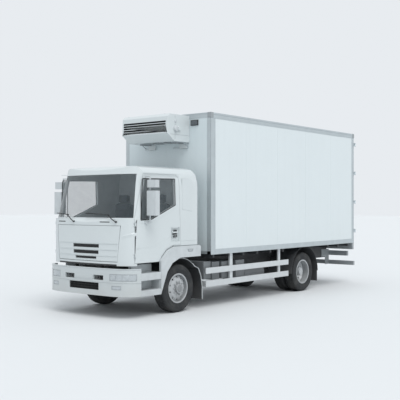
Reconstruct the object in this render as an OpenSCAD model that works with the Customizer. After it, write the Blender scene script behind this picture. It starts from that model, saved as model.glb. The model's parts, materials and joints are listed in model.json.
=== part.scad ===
// Two-axle refrigerated truck: tilting cab over the engine, insulated box, two rear doors.
// Front faces -Y, +X is the truck's own left, +Z is up. Millimetres.

/* [Overall] */
// Distance between the front and the rear axle
wheelbase = 4800; // [4200:50:6000]
// Outside length of the insulated box
box_length = 6400; // [5400:50:7600]
// Outside width of the insulated box
box_width = 2450; // [2300:10:2560]
// Outside height of the insulated box
box_height = 2970; // [2200:10:3100]
// Height of the underside of the box above the ground
box_base = 1120; // [1080:10:1250]
// Distance from the front axle back to the front wall of the box
box_front = 920; // [920:10:1400]
// Outside width of the cab
cab_width = 2260; // [2160:10:2400]

/* [Wheels] */
// Outside diameter of a tyre
tyre_d = 966; // [900:2:990]
// Width of a tyre
tyre_w = 275; // [240:5:290]
// Diameter of the wheel rim at its edge
rim_d = 590; // [560:5:620]
// Distance between the outer sidewalls of a wheel pair
track_out = 2258; // [2240:2:2340]
// Gap between the two tyres of a twin wheel
twin_gap = 40; // [30:5:60]
// Distance of each kingpin from the middle
kingpin_x = 930; // [900:5:960]

/* [Chassis] */
// Height of a chassis rail
rail_h = 240; // [180:10:260]
// Width of a chassis rail
rail_w = 80; // [60:5:90]
// Distance from the middle to the outer face of a rail
rail_out = 430; // [410:5:450]
// Height of the cross bearers under the box
bearer_h = 90; // [60:5:120]
// Height of the long sills under the bearers
sill_h = 100; // [60:5:120]
// Number of cross bearers
bearer_n = 12; // [6:1:16]

// Radius of the free bolt holes in the rails
web_bolt_r = 8.5; // [6:0.5:11]
// Spacing of the free bolt holes along a rail
web_bolt_y = 200; // [100:10:300]
// Spacing of the free bolt holes up a rail
web_bolt_z = 100; // [60:5:140]
// Radius of the front tow sockets
tow_r = 16; // [12:0.5:20]
// Depth of the front tow sockets
tow_depth = 70; // [50:5:75]

/* [Box] */
// Thickness of the side walls and the roof
wall = 65; // [40:5:90]
// Thickness of the front wall
front_wall = 80; // [50:5:120]
// Thickness of the insulated floor
floor_t = 110; // [70:5:140]
// Thickness of a rear door
door_t = 75; // [50:5:78]
// Depth of the rear frame
frame_d = 80; // [80:5:120]
// Gap all round each rear door
door_gap = 8; // [6:1:14]
// Gap between the two rear doors
leaf_gap = 14; // [12:1:24]
// Distance of each door hinge pin outside the side wall
hinge_out = 20; // [15:1:30]
// Distance of each door hinge pin behind the rear frame
hinge_back = 50; // [45:1:70]

/* [Cab] */
// Thickness of the cab walls
cab_wall = 45; // [30:5:60]
// Thickness of a cab door
cab_door_t = 55; // [40:5:70]
// Thickness of the glass
glass_t = 8; // [5:1:12]
// Gap round each cab door
cab_gap = 6; // [5:1:10]

/* [Hidden] */
$fn = 48;

// Ends of the truck, measured from the front axle, and the shift that centres it on the origin
front_end = -1520;
box_end = box_front + box_length;
rear_end = box_end + 120;
y_shift = -(front_end + rear_end) / 2;
axle_z = tyre_d / 2;
tyre_out = track_out / 2;
front_wheel_mid = tyre_out - tyre_w / 2;
rear_outer_mid = front_wheel_mid;
rear_inner_mid = rear_outer_mid - tyre_w - twin_gap;
half_box = box_width / 2;
box_top = box_base + box_height;
rail_top = box_base - bearer_h - sill_h;
rail_z = rail_top - rail_h;
rail_front = -1330;
rail_end = box_end - 90;
half_cab = cab_width / 2;
fit = 0.05;

// Moves drawings measured from the front axle to the centred frame
module truck() translate([0, y_shift, 0]) children();
module both() { children(); mirror([1, 0, 0]) children(); }
// A profile of [y, z] points drawn out along X from a to b
module along_x(pts, a, b) translate([a, 0, 0]) rotate([90, 0, 90]) linear_extrude(b - a) polygon(pts);
// A profile of [x, y] points drawn out along Z from a to b
module along_z(pts, a, b) translate([0, 0, a]) linear_extrude(b - a) polygon(pts);
// A profile of [x, z] points drawn out along Y from a to b
module along_y(pts, a, b) translate([0, b, 0]) rotate([90, 0, 0]) linear_extrude(b - a) polygon(pts);
// A block between two corners
module block(a, b) translate(a) cube(b - a);
module tube_x(r, a, b, y, z) translate([a, y, z]) rotate([0, 90, 0]) cylinder(r = r, h = b - a);
module tube_y(r, a, b, x, z) translate([x, a, z]) rotate([-90, 0, 0]) cylinder(r = r, h = b - a);

// ---------------------------------------------------------------- chassis
rail_t = 9;
cross_n = 6;
cross_step = (rail_end - 1400) / (cross_n - 1);
module rail() difference() {
  block([rail_out - rail_w, rail_front, rail_z], [rail_out, rail_end, rail_top]);
  block([rail_out - rail_w - 1, rail_front - 1, rail_z + rail_t], [rail_out - rail_t, rail_end + 1, rail_top - rail_t]);
  // free bolt holes for a bracket on the web
  for (y = [-web_bolt_y / 2, web_bolt_y / 2], z = [-web_bolt_z / 2, web_bolt_z / 2])
    tube_x(web_bolt_r, rail_out - rail_t - 1, rail_out + 1, web_bolt_at + y, rail_z + rail_h / 2 + z);
}
rail_in = rail_out - rail_w;
web_bolt_at = 3500;
pivot_y = -1370;
pivot_z = 1020;
pivot_r = 16;
pivot_x = 400;
module chassis_frame() color([0.14, 0.16, 0.17]) truck() {
  both() rail();
  // crossmembers between the rails, inside their webs
  for (i = [0 : cross_n - 1])
    block([-rail_out + rail_t, 1400 + i * cross_step - 60, rail_z + rail_t + 40],
          [rail_out - rail_t, 1400 + i * cross_step, rail_top - rail_t - 40]);
  // front crossmember and the two towers that carry the cab pivot
  block([-rail_out, rail_front - 60, rail_z], [rail_out, rail_front, rail_top]);
  both() difference() {
    along_x([[rail_front - 60, rail_top - 60], [rail_front, rail_top - 60], [rail_front, rail_top],
             [pivot_y + 34, pivot_z + 10], [pivot_y + 20, pivot_z + 30], [pivot_y - 22, pivot_z + 30],
             [pivot_y - 34, pivot_z], [rail_front - 60, rail_top]], pivot_x - 60, pivot_x - 36);
    tube_x(pivot_r + fit, pivot_x - 61, pivot_x - 35, pivot_y, pivot_z);
  }
  // rear crossmember plate
  block([-rail_out + rail_t, rail_end - 14, rail_z + rail_t], [rail_out - rail_t, rail_end, rail_top - rail_t]);
  // front tow sockets behind the bumper slots
  both() difference() {
    block([tow_x - 38, tow_front, tow_height - 38], [tow_x + 38, rail_front - 60, tow_height + 38]);
    tube_y(tow_r, tow_front - 1, tow_front + tow_depth, tow_x, tow_height);
  }
  // brackets from the rails to the spring ends
  for (y = [-spring_half, spring_half, wheelbase - spring_half, wheelbase + spring_half])
    both() block([rail_out - 75, y - 30, (abs(y) < 1000 ? spring_front_z : spring_rear_z) + leaf_t],
                 [rail_out - 5, y + 30, rail_z]);
}
module floor_bearers() color([0.16, 0.18, 0.19]) truck() {
  both() block([rail_in, box_front + 60, rail_top], [rail_out, box_end - 120, rail_top + sill_h]);
  cross_bearers();
}
module cross_bearers() {
  bearer_step = (box_length - 400) / (bearer_n - 1);
  for (i = [0 : bearer_n - 1]) {
    y = box_front + 160 + i * bearer_step;
    // short over the wheels, full width elsewhere
    reach = abs(y + 30 - wheelbase) < rear_arch_r + 60 ? rear_guard_in - 15 : half_box - 75;
    block([-reach, y, rail_top + sill_h], [reach, y + 60, box_base]);
  }
}
spring_half = 700;
leaf_t = 16;
leaf_w = 70;
beam_r = 50;
beam_drop = 80;
spring_front_z = axle_z - beam_drop + beam_r;
spring_rear_z = axle_z + 80;
module leaf_springs() color([0.15, 0.16, 0.17]) truck() both() {
  for (s = [[0, spring_front_z], [wheelbase, spring_rear_z]]) {
    block([rail_out - 5 - leaf_w, s[0] - spring_half - 40, s[1]], [rail_out - 5, s[0] + spring_half + 40, s[1] + leaf_t]);
    block([rail_out - 5 - leaf_w, s[0] - spring_half * 0.75, s[1] + leaf_t], [rail_out - 5, s[0] + spring_half * 0.75, s[1] + 2 * leaf_t]);
    block([rail_out - 5 - leaf_w, s[0] - spring_half * 0.5, s[1] + 2 * leaf_t], [rail_out - 5, s[0] + spring_half * 0.5, s[1] + 3 * leaf_t]);
    block([rail_out - 5 - leaf_w, s[0] - spring_half * 0.25, s[1] + 3 * leaf_t], [rail_out - 5, s[0] + spring_half * 0.25, s[1] + 4 * leaf_t]);
  }
}
king_r = 22;
fork_h = 60;
module front_axle() color([0.15, 0.16, 0.17]) truck() {
  block([-kingpin_x + 90, -beam_r, axle_z - beam_drop - beam_r], [kingpin_x - 90, beam_r, axle_z - beam_drop + beam_r]);
  both() {
    block([kingpin_x - 130, -beam_r, axle_z - beam_drop - beam_r], [kingpin_x - 60, beam_r, axle_z + fork_h]);
    block([kingpin_x - 61, -beam_r * 0.8, axle_z - fork_h], [kingpin_x, beam_r * 0.8, axle_z + fork_h]);
    translate([kingpin_x, 0, axle_z - fork_h]) cylinder(r = beam_r * 0.8, h = 2 * fork_h);
    // kingpin
    translate([kingpin_x, 0, axle_z - 2 * fork_h]) cylinder(r = king_r, h = 4 * fork_h);
  }
}
stub_r = 38;
hub_face = 1080;
module knuckle() difference() {
  union() {
    // upper and lower eyes round the kingpin, joined outside the axle end
    for (z = [axle_z + fork_h + 2, axle_z - 2 * fork_h + 8])
      translate([kingpin_x, 0, z]) cylinder(r = 46, h = fork_h - 10);
    block([kingpin_x + 46, -44, axle_z - 2 * fork_h + 8], [kingpin_x + 66, 44, axle_z + 2 * fork_h - 8]);
    for (z = [axle_z + fork_h + 2, axle_z - 2 * fork_h + 8])
      block([kingpin_x, -44, z], [kingpin_x + 50, 44, z + fork_h - 10]);
    tube_x(stub_r, kingpin_x + 60, hub_face, 0, axle_z);
  }
  translate([kingpin_x, 0, axle_z - 3 * fork_h]) cylinder(r = king_r + fit, h = 6 * fork_h);
}
module left_knuckle() color([0.2, 0.21, 0.22]) truck() knuckle();
module right_knuckle() color([0.2, 0.21, 0.22]) truck() mirror([1, 0, 0]) knuckle();
axle_r = 70;
rear_hub = 1040;
module rear_axle() color([0.14, 0.15, 0.16]) truck() {
  tube_x(axle_r, -rear_inner_mid - 20, rear_inner_mid + 20, wheelbase, axle_z);
  tube_x(stub_r + 10, -rear_hub, rear_hub, wheelbase, axle_z);
  // differential housing and its nose
  turned_x(0, wheelbase) polygon([[0, -190], [95, -183], [172, -112], [205, -42], [205, 42], [172, 112], [95, 183], [0, 190]]);
  tube_y(72, wheelbase - 340, wheelbase - 60, 0, axle_z + 13);
  both() block([rail_out - 70, wheelbase - 55, axle_z + 40], [rail_out - 10, wheelbase + 55, spring_rear_z]);
}
module engine_block() color([0.3, 0.31, 0.32]) truck() {
  block([-320, -190, axle_z + beam_r], [320, 560, 1240]);
  block([-320, -560, axle_z + beam_r], [320, -190, 1000]);
  block([-rail_in, -1180, 560], [rail_in, -1110, 1000]);
}
module gearbox_shaft() color([0.25, 0.26, 0.27]) truck() {
  block([-190, 560, axle_z + 60], [190, 1250, 880]);
  tube_y(42, 1250, wheelbase - 340, 0, axle_z + 50);
}
module silencer() color([0.5, 0.51, 0.52]) truck() {
  tube_y(160, 1000, 1750, -760, 800);
  tube_y(35, 700, 1000, -700, 760);
  for (y = [1150, 1550]) block([-760, y, 870], [-rail_out, y + 50, rail_top - 20]);
}
tank_r = 290;
module fuel_tank() color([0.62, 0.64, 0.66]) truck() {
  difference() {
    block([-1090, 1950, 520], [-rail_out - 90, 3100, 960]);
    block([-1091, 1949, 519], [-1060, 3101, 550]);
  }
  for (y = [2100, 2850]) block([-rail_out - 90, y, 700], [-rail_out, y + 60, 880]);
  translate([-960, 2100, 960]) cylinder(r = 45, h = 30);
}
// Battery box, valve box and air tanks along the left rail, as [front y, length, inner x, bottom z, top z]
side_boxes = [[850, 240, 560, 590, 960], [1130, 260, 620, 560, 940], [1470, 250, 660, 560, 930], [1990, 320, 560, 520, 930]];
module chassis_boxes() color([0.45, 0.47, 0.49]) truck() {
  for (b = side_boxes) {
    block([b[2], b[0], b[3]], [1090, b[0] + b[1], b[4]]);
    block([rail_out, b[0] + b[1] / 2 - 30, 720], [b[2], b[0] + b[1] / 2 + 30, 880]);
  }
  for (z = [600, 600]) tube_y(105, 2450, 3250, 900, z);
  for (y = [2560, 3080]) block([rail_out, y, 690], [900, y + 40, 730]);
}
// ---------------------------------------------------------------- bumper, lamps, steps
bumper_z0 = 430;
bumper_z1 = 950;
bumper_t = 40;
bumper_end = -1165;
half_bumper = half_cab + 70;
function mirrored(p) = concat(p, [for (i = [len(p) - 1 : -1 : 1]) [-p[i][0], p[i][1]]]);
bumper_line = mirrored([[0, front_end], [half_bumper - 700, front_end + 5], [half_bumper - 400, front_end + 25],
  [half_bumper - 200, front_end + 80], [half_bumper - 70, front_end + 180], [half_bumper - 8, front_end + 300],
  [half_bumper, front_end + 360], [half_bumper, -900]]);
module bumper_shell() difference() {
  translate([0, 0, bumper_z0]) linear_extrude(bumper_z1 - bumper_z0) difference() {
    polygon(bumper_line);
    offset(delta = -bumper_t) polygon(bumper_line);
  }
  block([-2000, bumper_end, 0], [2000, 0, 2000]);
}
lamp_x = 700;
lamp_z = [728, 848];
fog_x = [750, 945];
fog_z = [562, 628];
slot_x = [268, 532];
slot_z = [725, 815];
intake_x = 410;
intake_z = [530, 668];
tow_x = (slot_x[0] + slot_x[1]) / 2 - 30;
tow_height = (slot_z[0] + slot_z[1]) / 2;
tow_front = front_end + bumper_t + 4;
module lamp_room(gap) both() {
  block([lamp_x - gap, -1600, lamp_z[0] - gap], [1400, -1262, lamp_z[1] + gap]);
  block([fog_x[0] - gap, -1600, fog_z[0] - gap], [fog_x[1] + gap, -1300, fog_z[1] + gap]);
}
module front_bumper() color([0.93, 0.94, 0.94]) truck() {
  difference() {
    bumper_shell();
    lamp_room(0);
    both() block([slot_x[0], -1600, slot_z[0]], [slot_x[1], -1400, slot_z[1]]);
    block([-intake_x, -1600, intake_z[0]], [intake_x, -1400, intake_z[1]]);
  }
  // stays from the front crossmember
  both() block([160, front_end + bumper_t - 6, 700], [240, rail_front - 60, 900]);
  // inner beam behind the shell that carries its corners
  both() block([rail_out, -1330, 880], [1100, -1290, 930]);
}
module headlamps() color([0.8, 0.83, 0.85]) truck() intersection() {
  bumper_shell();
  lamp_room(0);
}
step_in = 850;
step_out = half_cab + 55;
step_back = 930;
step_end = -590;
module cab_steps() color([0.9, 0.91, 0.92]) truck() both() {
  along_y([[step_in, 420], [step_out, 420], [step_out, 533], [step_back, 533], [step_back, 717], [step_out, 717],
           [step_out, 855], [step_back, 855], [step_back, 1005], [step_in, 1005]], bumper_end + 5, step_end);
  for (y = [bumper_end + 5, step_end - 12])
    block([step_in, y, 420], [step_out - 25, y + 12, 850]);
  for (y = [-1060, -760]) block([rail_out, y, 760], [step_in, y + 60, 840]);
}
guard_in = 640;
guard_t = 8;
arch_r = 600;
flare_line = [[-586, 420], [-524, 574], [-403, 845], [-251, 1004], [-16, 1097], [635, 1097], [640, 1300],
  [600, 1325], [-187, 1325], [-374, 1262], [-510, 1140], [-586, 1070]];
liner_line = concat([for (a = [164 : -8 : 44]) [arch_r * cos(a), axle_z + arch_r * sin(a)]],
  [[560, 850], [640, 690], [685, 450], [692, 197]]);
module front_mudguards() color([0.92, 0.93, 0.94]) truck() both() {
  // outer flare over the wheel
  along_x(flare_line, step_out - 55, step_out);
  // inner liner
  translate([guard_in, 0, 0]) rotate([90, 0, 90]) linear_extrude(step_out - guard_in - 10)
    polygon(concat(liner_line, [for (i = [len(liner_line) - 1 : -1 : 0]) liner_line[i] + guard_t * out_dir(liner_line[i])]));
  // stay from the rail
  block([rail_out, 560, 760], [guard_in + 60, 620, 800]);
}
function out_dir(p) = (p[1] > axle_z ? [p[0], p[1] - axle_z] / norm([p[0], p[1] - axle_z]) : [1, 0]);
rear_arch_r = 622;
rear_guard_in = 510;
rear_guard_out = 1180;
flap_z = 210;
stay_a = 35;
module rear_mudguards() color([0.16, 0.17, 0.18]) truck() both() {
  difference() {
    translate([rear_guard_in, wheelbase, axle_z]) rotate([0, 90, 0]) difference() {
      cylinder(r = rear_arch_r + guard_t, h = rear_guard_out - rear_guard_in, $fn = 96);
      translate([0, 0, -1]) cylinder(r = rear_arch_r, h = rear_guard_out - rear_guard_in + 2, $fn = 96);
    }
    block([0, 0, -300], [2000, 12000, axle_z - 10]);
  }
  // flap
  block([rear_guard_in + 60, wheelbase + rear_arch_r + 2, flap_z], [rear_guard_out - 20, wheelbase + rear_arch_r + guard_t, axle_z + 20]);
  for (s = [-1, 1])
    tube_x(16, rail_out, rear_guard_in + 300, wheelbase + s * (rear_arch_r + 4) * cos(stay_a), axle_z + (rear_arch_r + 4) * sin(stay_a));
}
guard_front = 805;
guard_rear = 4015;
guard_out = 1190;
rail_thick = 28;
module side_guards() color([0.87, 0.88, 0.89]) truck() difference() {
  both() guard_rails();
  cross_bearers();
}
module guard_rails() {
  for (z = [[439, 564], [714, 836]])
    block([guard_out - rail_thick, guard_front, z[0]], [guard_out, min(guard_rear, wheelbase - rear_arch_r - 150), z[1]]);
  for (y = [[1674, 1774], [3611, 3686]])
    block([guard_out - rail_thick - 40, y[0], 439], [guard_out - rail_thick, y[1], box_base]);
  // lower rail turned in at its front end
  block([guard_out - 260, guard_front, 445], [guard_out - rail_thick, guard_front + 40, 560]);
}
bar_y = box_end + 20;
module rear_bumper() color([0.18, 0.19, 0.2]) truck() {
  block([-half_box + 30, bar_y, 490], [half_box - 30, rear_end - 10, 600]);
  block([-1000, bar_y, 740], [1000, rear_end, 870]);
  both() {
    block([rail_out, rail_end - 300, rail_z + 20], [rail_out + 14, bar_y, rail_top - 20]);
    block([rail_out, rail_end - 100, 490], [rail_out + 14, bar_y, rail_z + 21]);
  }
  block([-half_box, rail_end, rail_top], [half_box, box_end, box_base]);
}
module tail_lamps() color([0.6, 0.1, 0.1]) truck() both()
  block([760, box_end, rail_top + 25], [half_box - 40, box_end + 28, box_base - 40]);

// ---------------------------------------------------------------- wheels
rim_t = 10;
seat_r = rim_d / 2 - 10;
half_seat = tyre_w / 2 - 23;
// Section of a tyre as [radius, offset from the middle]
tyre_line = [[seat_r, -half_seat], [seat_r + 13, -half_seat], [seat_r + 15, -half_seat - 10], [seat_r + 95, -tyre_w / 2],
  [tyre_d / 2 - 28, -tyre_w / 2 + 6], [tyre_d / 2 - 6, -tyre_w / 2 + 24], [tyre_d / 2, -tyre_w / 2 + 40],
  [tyre_d / 2, tyre_w / 2 - 40], [tyre_d / 2 - 6, tyre_w / 2 - 24], [tyre_d / 2 - 28, tyre_w / 2 - 6],
  [seat_r + 95, tyre_w / 2], [seat_r + 15, half_seat + 10], [seat_r + 13, half_seat], [seat_r, half_seat]];
module turned_x(x, y) translate([x, y, axle_z]) rotate([0, 90, 0]) rotate_extrude($fn = 96) children();
module tyre(x, y) turned_x(x, y) polygon(tyre_line);
// Barrel of a rim with its two edges
module barrel_line() polygon([[seat_r, -half_seat], [seat_r + 12, -half_seat], [seat_r + 12, -half_seat - 8],
  [seat_r - rim_t, -half_seat - 8], [seat_r - rim_t, half_seat + 8], [seat_r + 12, half_seat + 8],
  [seat_r + 12, half_seat], [seat_r, half_seat]]);
hand_holes = 10;
module holes(x, y, r, ring) for (i = [0 : hand_holes - 1])
  translate([x, y, axle_z]) rotate([i * 360 / hand_holes, 0, 0]) translate([-80, 0, ring]) rotate([0, 90, 0]) cylinder(r = r, h = 160);
dish = 60;
module front_rim() difference() {
  union() {
    turned_x(front_wheel_mid, 0) barrel_line();
    turned_x(front_wheel_mid, 0) polygon([[60, dish + 52], [160, dish + 52], [230, dish + 20], [seat_r - rim_t + 1, dish - 10],
      [seat_r - rim_t + 1, dish - 24], [225, dish + 6], [155, dish + 38], [60, dish + 38]]);
    tube_x(112, 1012, front_wheel_mid + dish + 52, 0, axle_z);
    tube_x(88, front_wheel_mid + dish + 51, tyre_out + 22, 0, axle_z);
  }
  tube_x(stub_r + fit, 1000, hub_face + 4, 0, axle_z);
  holes(front_wheel_mid + dish, 0, 20, 222);
}
rear_mate = (rear_outer_mid + rear_inner_mid) / 2;
module rear_rims() difference() {
  union() {
    for (x = [rear_outer_mid, rear_inner_mid]) turned_x(x, wheelbase) barrel_line();
    for (s = [0, 1]) translate([rear_mate, 0, 0]) mirror([s, 0, 0]) translate([-rear_mate, 0, 0])
      turned_x(rear_mate, wheelbase) polygon([[60, 0], [175, 0], [seat_r - rim_t + 1, 100], [seat_r - rim_t + 1, 116], [168, 15], [60, 15]]);
    tube_x(105, rear_mate - 60, 1030, wheelbase, axle_z);
    tube_x(85, 1029, 1062, wheelbase, axle_z);
  }
  tube_x(stub_r + 10 + fit, 700, rear_hub + 4, wheelbase, axle_z);
  holes(rear_mate, wheelbase, 22, 222);
}
tyre_c = [0.16, 0.17, 0.18];
rim_c = [0.72, 0.74, 0.76];
module front_left_tyre() color(tyre_c) truck() tyre(front_wheel_mid, 0);
module front_right_tyre() color(tyre_c) truck() tyre(-front_wheel_mid, 0);
module front_left_rim() color(rim_c) truck() front_rim();
module front_right_rim() color(rim_c) truck() mirror([1, 0, 0]) front_rim();
module rear_left_tyres() color(tyre_c) truck() { tyre(rear_outer_mid, wheelbase); tyre(rear_inner_mid, wheelbase); }
module rear_right_tyres() color(tyre_c) truck() { tyre(-rear_outer_mid, wheelbase); tyre(-rear_inner_mid, wheelbase); }
module rear_left_rims() color(rim_c) truck() rear_rims();
module rear_right_rims() color(rim_c) truck() mirror([1, 0, 0]) rear_rims();
// ---------------------------------------------------------------- cab
cab_low = 1000;
cab_top = 2905;
cab_back = 590;
glass_base_y = -1430;
glass_base_z = 1880;
glass_lean = 16;
cab_line = mirrored([[0, -1475], [half_cab - 680, -1462], [half_cab - 280, -1415], [half_cab - 130, -1355],
  [half_cab - 50, -1280], [half_cab - 10, -1200], [half_cab, -1120], [half_cab, cab_back + 300]]);
cab_side_line = [[-1500, cab_low], [-1500, 1780], [glass_base_y - 2, glass_base_z + 5], [-1158, 2830], [-1080, 2888],
  [-950, cab_top], [400, cab_top], [490, cab_top - 14], [548, 2850], [576, 2760], [cab_back, 2600],
  [cab_back, 1335], [-187, 1335], [-374, 1272], [-510, 1150], [-590, 1050], [-1200, 1050], [-1200, cab_low]];
cab_front_line = mirrored([[0, cab_low - 10], [half_cab + 6, cab_low - 10], [half_cab + 6, 2470], [half_cab - 14, 2650],
  [half_cab - 50, 2780], [half_cab - 130, 2870], [half_cab - 260, cab_top], [0, cab_top + 5]]);
// Outer volume of the cab, brought in by t on every side
module cab_volume(t) intersection() {
  union() {
    translate([0, 0, 900]) linear_extrude(glass_base_z - 900) offset(delta = -t) polygon(cab_line);
    intersection() {
      translate([0, glass_base_y, glass_base_z]) rotate([-glass_lean, 0, 0]) translate([0, 1475, -1500])
        linear_extrude(3200) offset(delta = -t) polygon(concat(
          [for (p = cab_line) p[1] > 0 ? [p[0], 2500] : p]));
      block([-2000, -2000, glass_base_z], [2000, cab_back + 200, 3500]);
    }
  }
  translate([-2000, 0, 0]) rotate([90, 0, 90]) linear_extrude(4000) offset(delta = -t) polygon(cab_side_line);
  translate([0, 2000, 0]) rotate([90, 0, 0]) linear_extrude(4000) offset(delta = -t) polygon(cab_front_line);
}
module cab_shell() difference() { cab_volume(0); cab_volume(cab_wall); }
door_line = [[-1240, 1048], [-600, 1048], [-505, 1168], [-370, 1290], [-187, 1350], [58, 1352], [30, 2000], [0, 2690],
  [-60, 2745], [-1050, 2745], [-1095, 2715], [-1180, 2330], [-1240, 1920]];
window_line = [[-1063, 2649], [-1109, 1861], [-804, 1877], [-109, 2147], [-127, 2664]];
front_edge = -1240 - cab_gap;
roof_z = 2762;
back_edge = 430;
module door_room(gap) both() translate([half_cab - cab_door_t - gap, 0, 0]) rotate([90, 0, 90])
  linear_extrude(cab_door_t + gap + 50) offset(delta = gap) polygon(door_line);
screen_line = [[-1060, 1905], [1060, 1905], [980, 2745], [-980, 2745]];
module screen_room(gap) translate([0, -950, 0]) rotate([90, 0, 0]) linear_extrude(900) offset(delta = gap) polygon(screen_line);
hatch_line = [[-820, 1068], [820, 1068], [890, 1760], [-890, 1760]];
module hatch_room(gap) translate([0, -1340, 0]) rotate([90, 0, 0]) linear_extrude(400) offset(delta = gap) polygon(hatch_line);
tower_in = pivot_x - 60;
tower_out = pivot_x - 36;
module tower_room() both() block([tower_in - 12, pivot_y - 60, 900], [tower_out + 12, pivot_y + 60, pivot_z + 42]);
// Room inside the cab walls, in plan, up to the height of the engine hump
module floor_zone() intersection() {
  block([-half_cab, -1300, 900], [half_cab, cab_back - cab_wall, 1420]);
  translate([0, 0, 800]) linear_extrude(700) offset(delta = -cab_wall - 1) polygon(cab_line);
}
cab_c = [0.93, 0.94, 0.95];
module cab_floor() color([0.3, 0.31, 0.32]) truck() {
  difference() {
    intersection() { cab_shell(); floor_zone(); }
    tower_room();
    door_room(cab_gap);
  }
  // ears and pin of the tilt pivot
  both() {
    for (x = [tower_in - 20, tower_out + 2])
      block([x, pivot_y - 26, pivot_z - 24], [x + 18, -1290, pivot_z + 24]);
    tube_x(pivot_r, tower_in - 10, tower_out + 10, pivot_y, pivot_z);
    block([tower_in - 20, -1300, cab_low], [tower_out + 20, -1290, cab_low + cab_wall]);
  }
}
firewall_y = -1335;
lug_in = half_cab - cab_wall + 1;
stop_gap = 0.3;
module cab_front() color(cab_c) truck() {
  front_panel();
  // rubber stops that the shut hatch rests against
  intersection() {
    cab_volume(hatch_t + stop_gap);
    both() for (z = [1085, 1725]) block([500, -1600, z], [540, firewall_y - 19, z + 20]);
  }
  // fixed lugs and pins of the door hinges
  both() for (z = hinge_z) {
    for (l = [z - 12, z + hinge_h + 2]) along_z([[lug_in, hinge_y - 24], [hinge_x + 9, hinge_y - 12],
      [hinge_x + 11, hinge_y + 8], [hinge_x - 11, hinge_y + 8], [hinge_x - 14, hinge_y - 6], [lug_in, hinge_y - 6]], l, l + 10);
    translate([hinge_x, hinge_y, z - 12]) cylinder(r = hinge_r, h = hinge_h + 24);
  }
}
module front_panel() difference() {
  union() {
    intersection() { cab_shell(); block([-2000, -2000, 900], [2000, front_edge, roof_z]); }
    // firewall behind the hatch
    block([-960, firewall_y - 20, cab_low + 50], [960, firewall_y, 1790]);
  }
  floor_zone();
  tower_room();
  screen_room(0);
  hatch_room(0);
  door_room(cab_gap);
  both() block([tower_in - 22, -1400, 900], [tower_out + 22, -1290, 1080]);
}
module cab_roof() color(cab_c) truck() intersection() { cab_shell(); block([-2000, -2000, roof_z], [2000, 2000, 3200]); }
module cab_rear() color(cab_c) truck() difference() {
  intersection() { cab_shell(); block([-2000, back_edge, 900], [2000, 2000, roof_z]); }
  floor_zone();
}
module cab_sides() color(cab_c) truck() difference() {
  intersection() { cab_shell(); block([-2000, front_edge, 900], [2000, back_edge, roof_z]); }
  floor_zone();
  door_room(cab_gap);
  screen_room(0);
}
module windscreen() color([0.35, 0.42, 0.46]) truck() intersection() {
  difference() { cab_volume(1); cab_volume(1 + glass_t); }
  screen_room(-1);
}
hatch_t = 32;
hatch_slots = [[1115, 1165, 290], [1210, 1280, 350], [1330, 1400, 360]];
module front_hatch() color(cab_c) truck() difference() {
  intersection() {
    difference() { cab_volume(0); cab_volume(hatch_t); }
    hatch_room(-cab_gap);
    // sides drawn in towards the top, so that its upper corners pass the opening as it lifts
    translate([0, -1340, 0]) rotate([90, 0, 0]) linear_extrude(400)
      polygon([[-814, 1000], [814, 1000], [814, 1074], [874, 1754], [-874, 1754], [-814, 1074]]);
  }
  for (s = hatch_slots) block([-s[2], -1600, s[0]], [s[2], -1300, s[1]]);
}
wiper_x = [-330, 790];
module wipers() color([0.12, 0.12, 0.13]) truck() difference() {
  translate([0, glass_base_y, glass_base_z]) rotate([-glass_lean, 0, 0])
    for (x = wiper_x) translate([x, 0, 0]) {
      // pivot boss on the cowl, cranked arm, then the blade lying along the foot of the glass
      translate([0, 80, -52]) rotate([90, 0, 0]) cylinder(r = 17, h = 104);
      translate([0, -24, -52]) rotate([0, 34, 0]) block([-270, 0, -9], [0, 12, 9]);
      translate([-218, -24, 92]) rotate([0, 3, 0]) {
        block([-430, 0, 0], [16, 14, 22]);
        block([-430, 14, 6], [16, 60, 16]);
      }
    }
  cab_volume(0);
}
dash_line = [[firewall_y, 1450], [-1150, 1430], [-1045, 1520], [-1040, 1735], [-1100, 1800], [firewall_y, 1800]];
module dash_shape() along_x(dash_line, -1000, 1000);
module dashboard() color([0.2, 0.21, 0.22]) truck() intersection() {
  dash_shape();
  cab_volume(cab_wall + 2);
}
seat_x = 520;
wheel_y = -900;
wheel_z = 1760;
module steering_wheel() color([0.1, 0.1, 0.11]) truck() difference() {
  translate([seat_x, wheel_y, wheel_z]) rotate([-40, 0, 0]) {
    rotate_extrude() translate([205, 0]) circle(r = 15);
    cylinder(r = 60, h = 30, center = true);
    for (a = [90, 210, 330]) rotate([0, 0, a]) block([50, -16, -8], [198, 16, 8]);
    translate([0, 0, -280]) cylinder(r = 25, h = 270);
  }
  dash_shape();
}
seat_w = 500;
floor_top = 1335 + cab_wall;
module seats() color([0.25, 0.27, 0.3]) truck() for (x = [-seat_x, seat_x]) {
  block([x - 180, -150, floor_top], [x + 180, 60, 1500]);
  block([x - seat_w / 2, -450, 1500], [x + seat_w / 2, 70, 1630]);
  block([x - seat_w / 2 + 20, 70, 1520], [x + seat_w / 2 - 20, 200, 2180]);
  block([x - 130, 85, 2180], [x + 130, 185, 2360]);
}
hinge_x = half_cab - 5;
hinge_y = -1243;
hinge_z = [1180, 1760];
hinge_h = 40;
hinge_r = 7;
module door_knuckles() for (z = hinge_z) difference() {
  union() {
    translate([hinge_x, hinge_y, z]) cylinder(r = hinge_r + 6, h = hinge_h);
    block([hinge_x - 42, hinge_y + 4, z], [hinge_x, hinge_y + 13, z + hinge_h]);
  }
  translate([hinge_x, hinge_y, z - 1]) cylinder(r = hinge_r + fit, h = hinge_h + 2);
}
module cab_door() difference() {
  intersection() {
    cab_volume(0);
    along_x(door_line, half_cab - cab_door_t, half_cab + 50);
  }
  along_x(window_line, half_cab - 200, half_cab + 60);
  // handle recess
  block([half_cab - 25, -240, 1420], [half_cab + 5, 20, 1700]);
}
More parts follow.
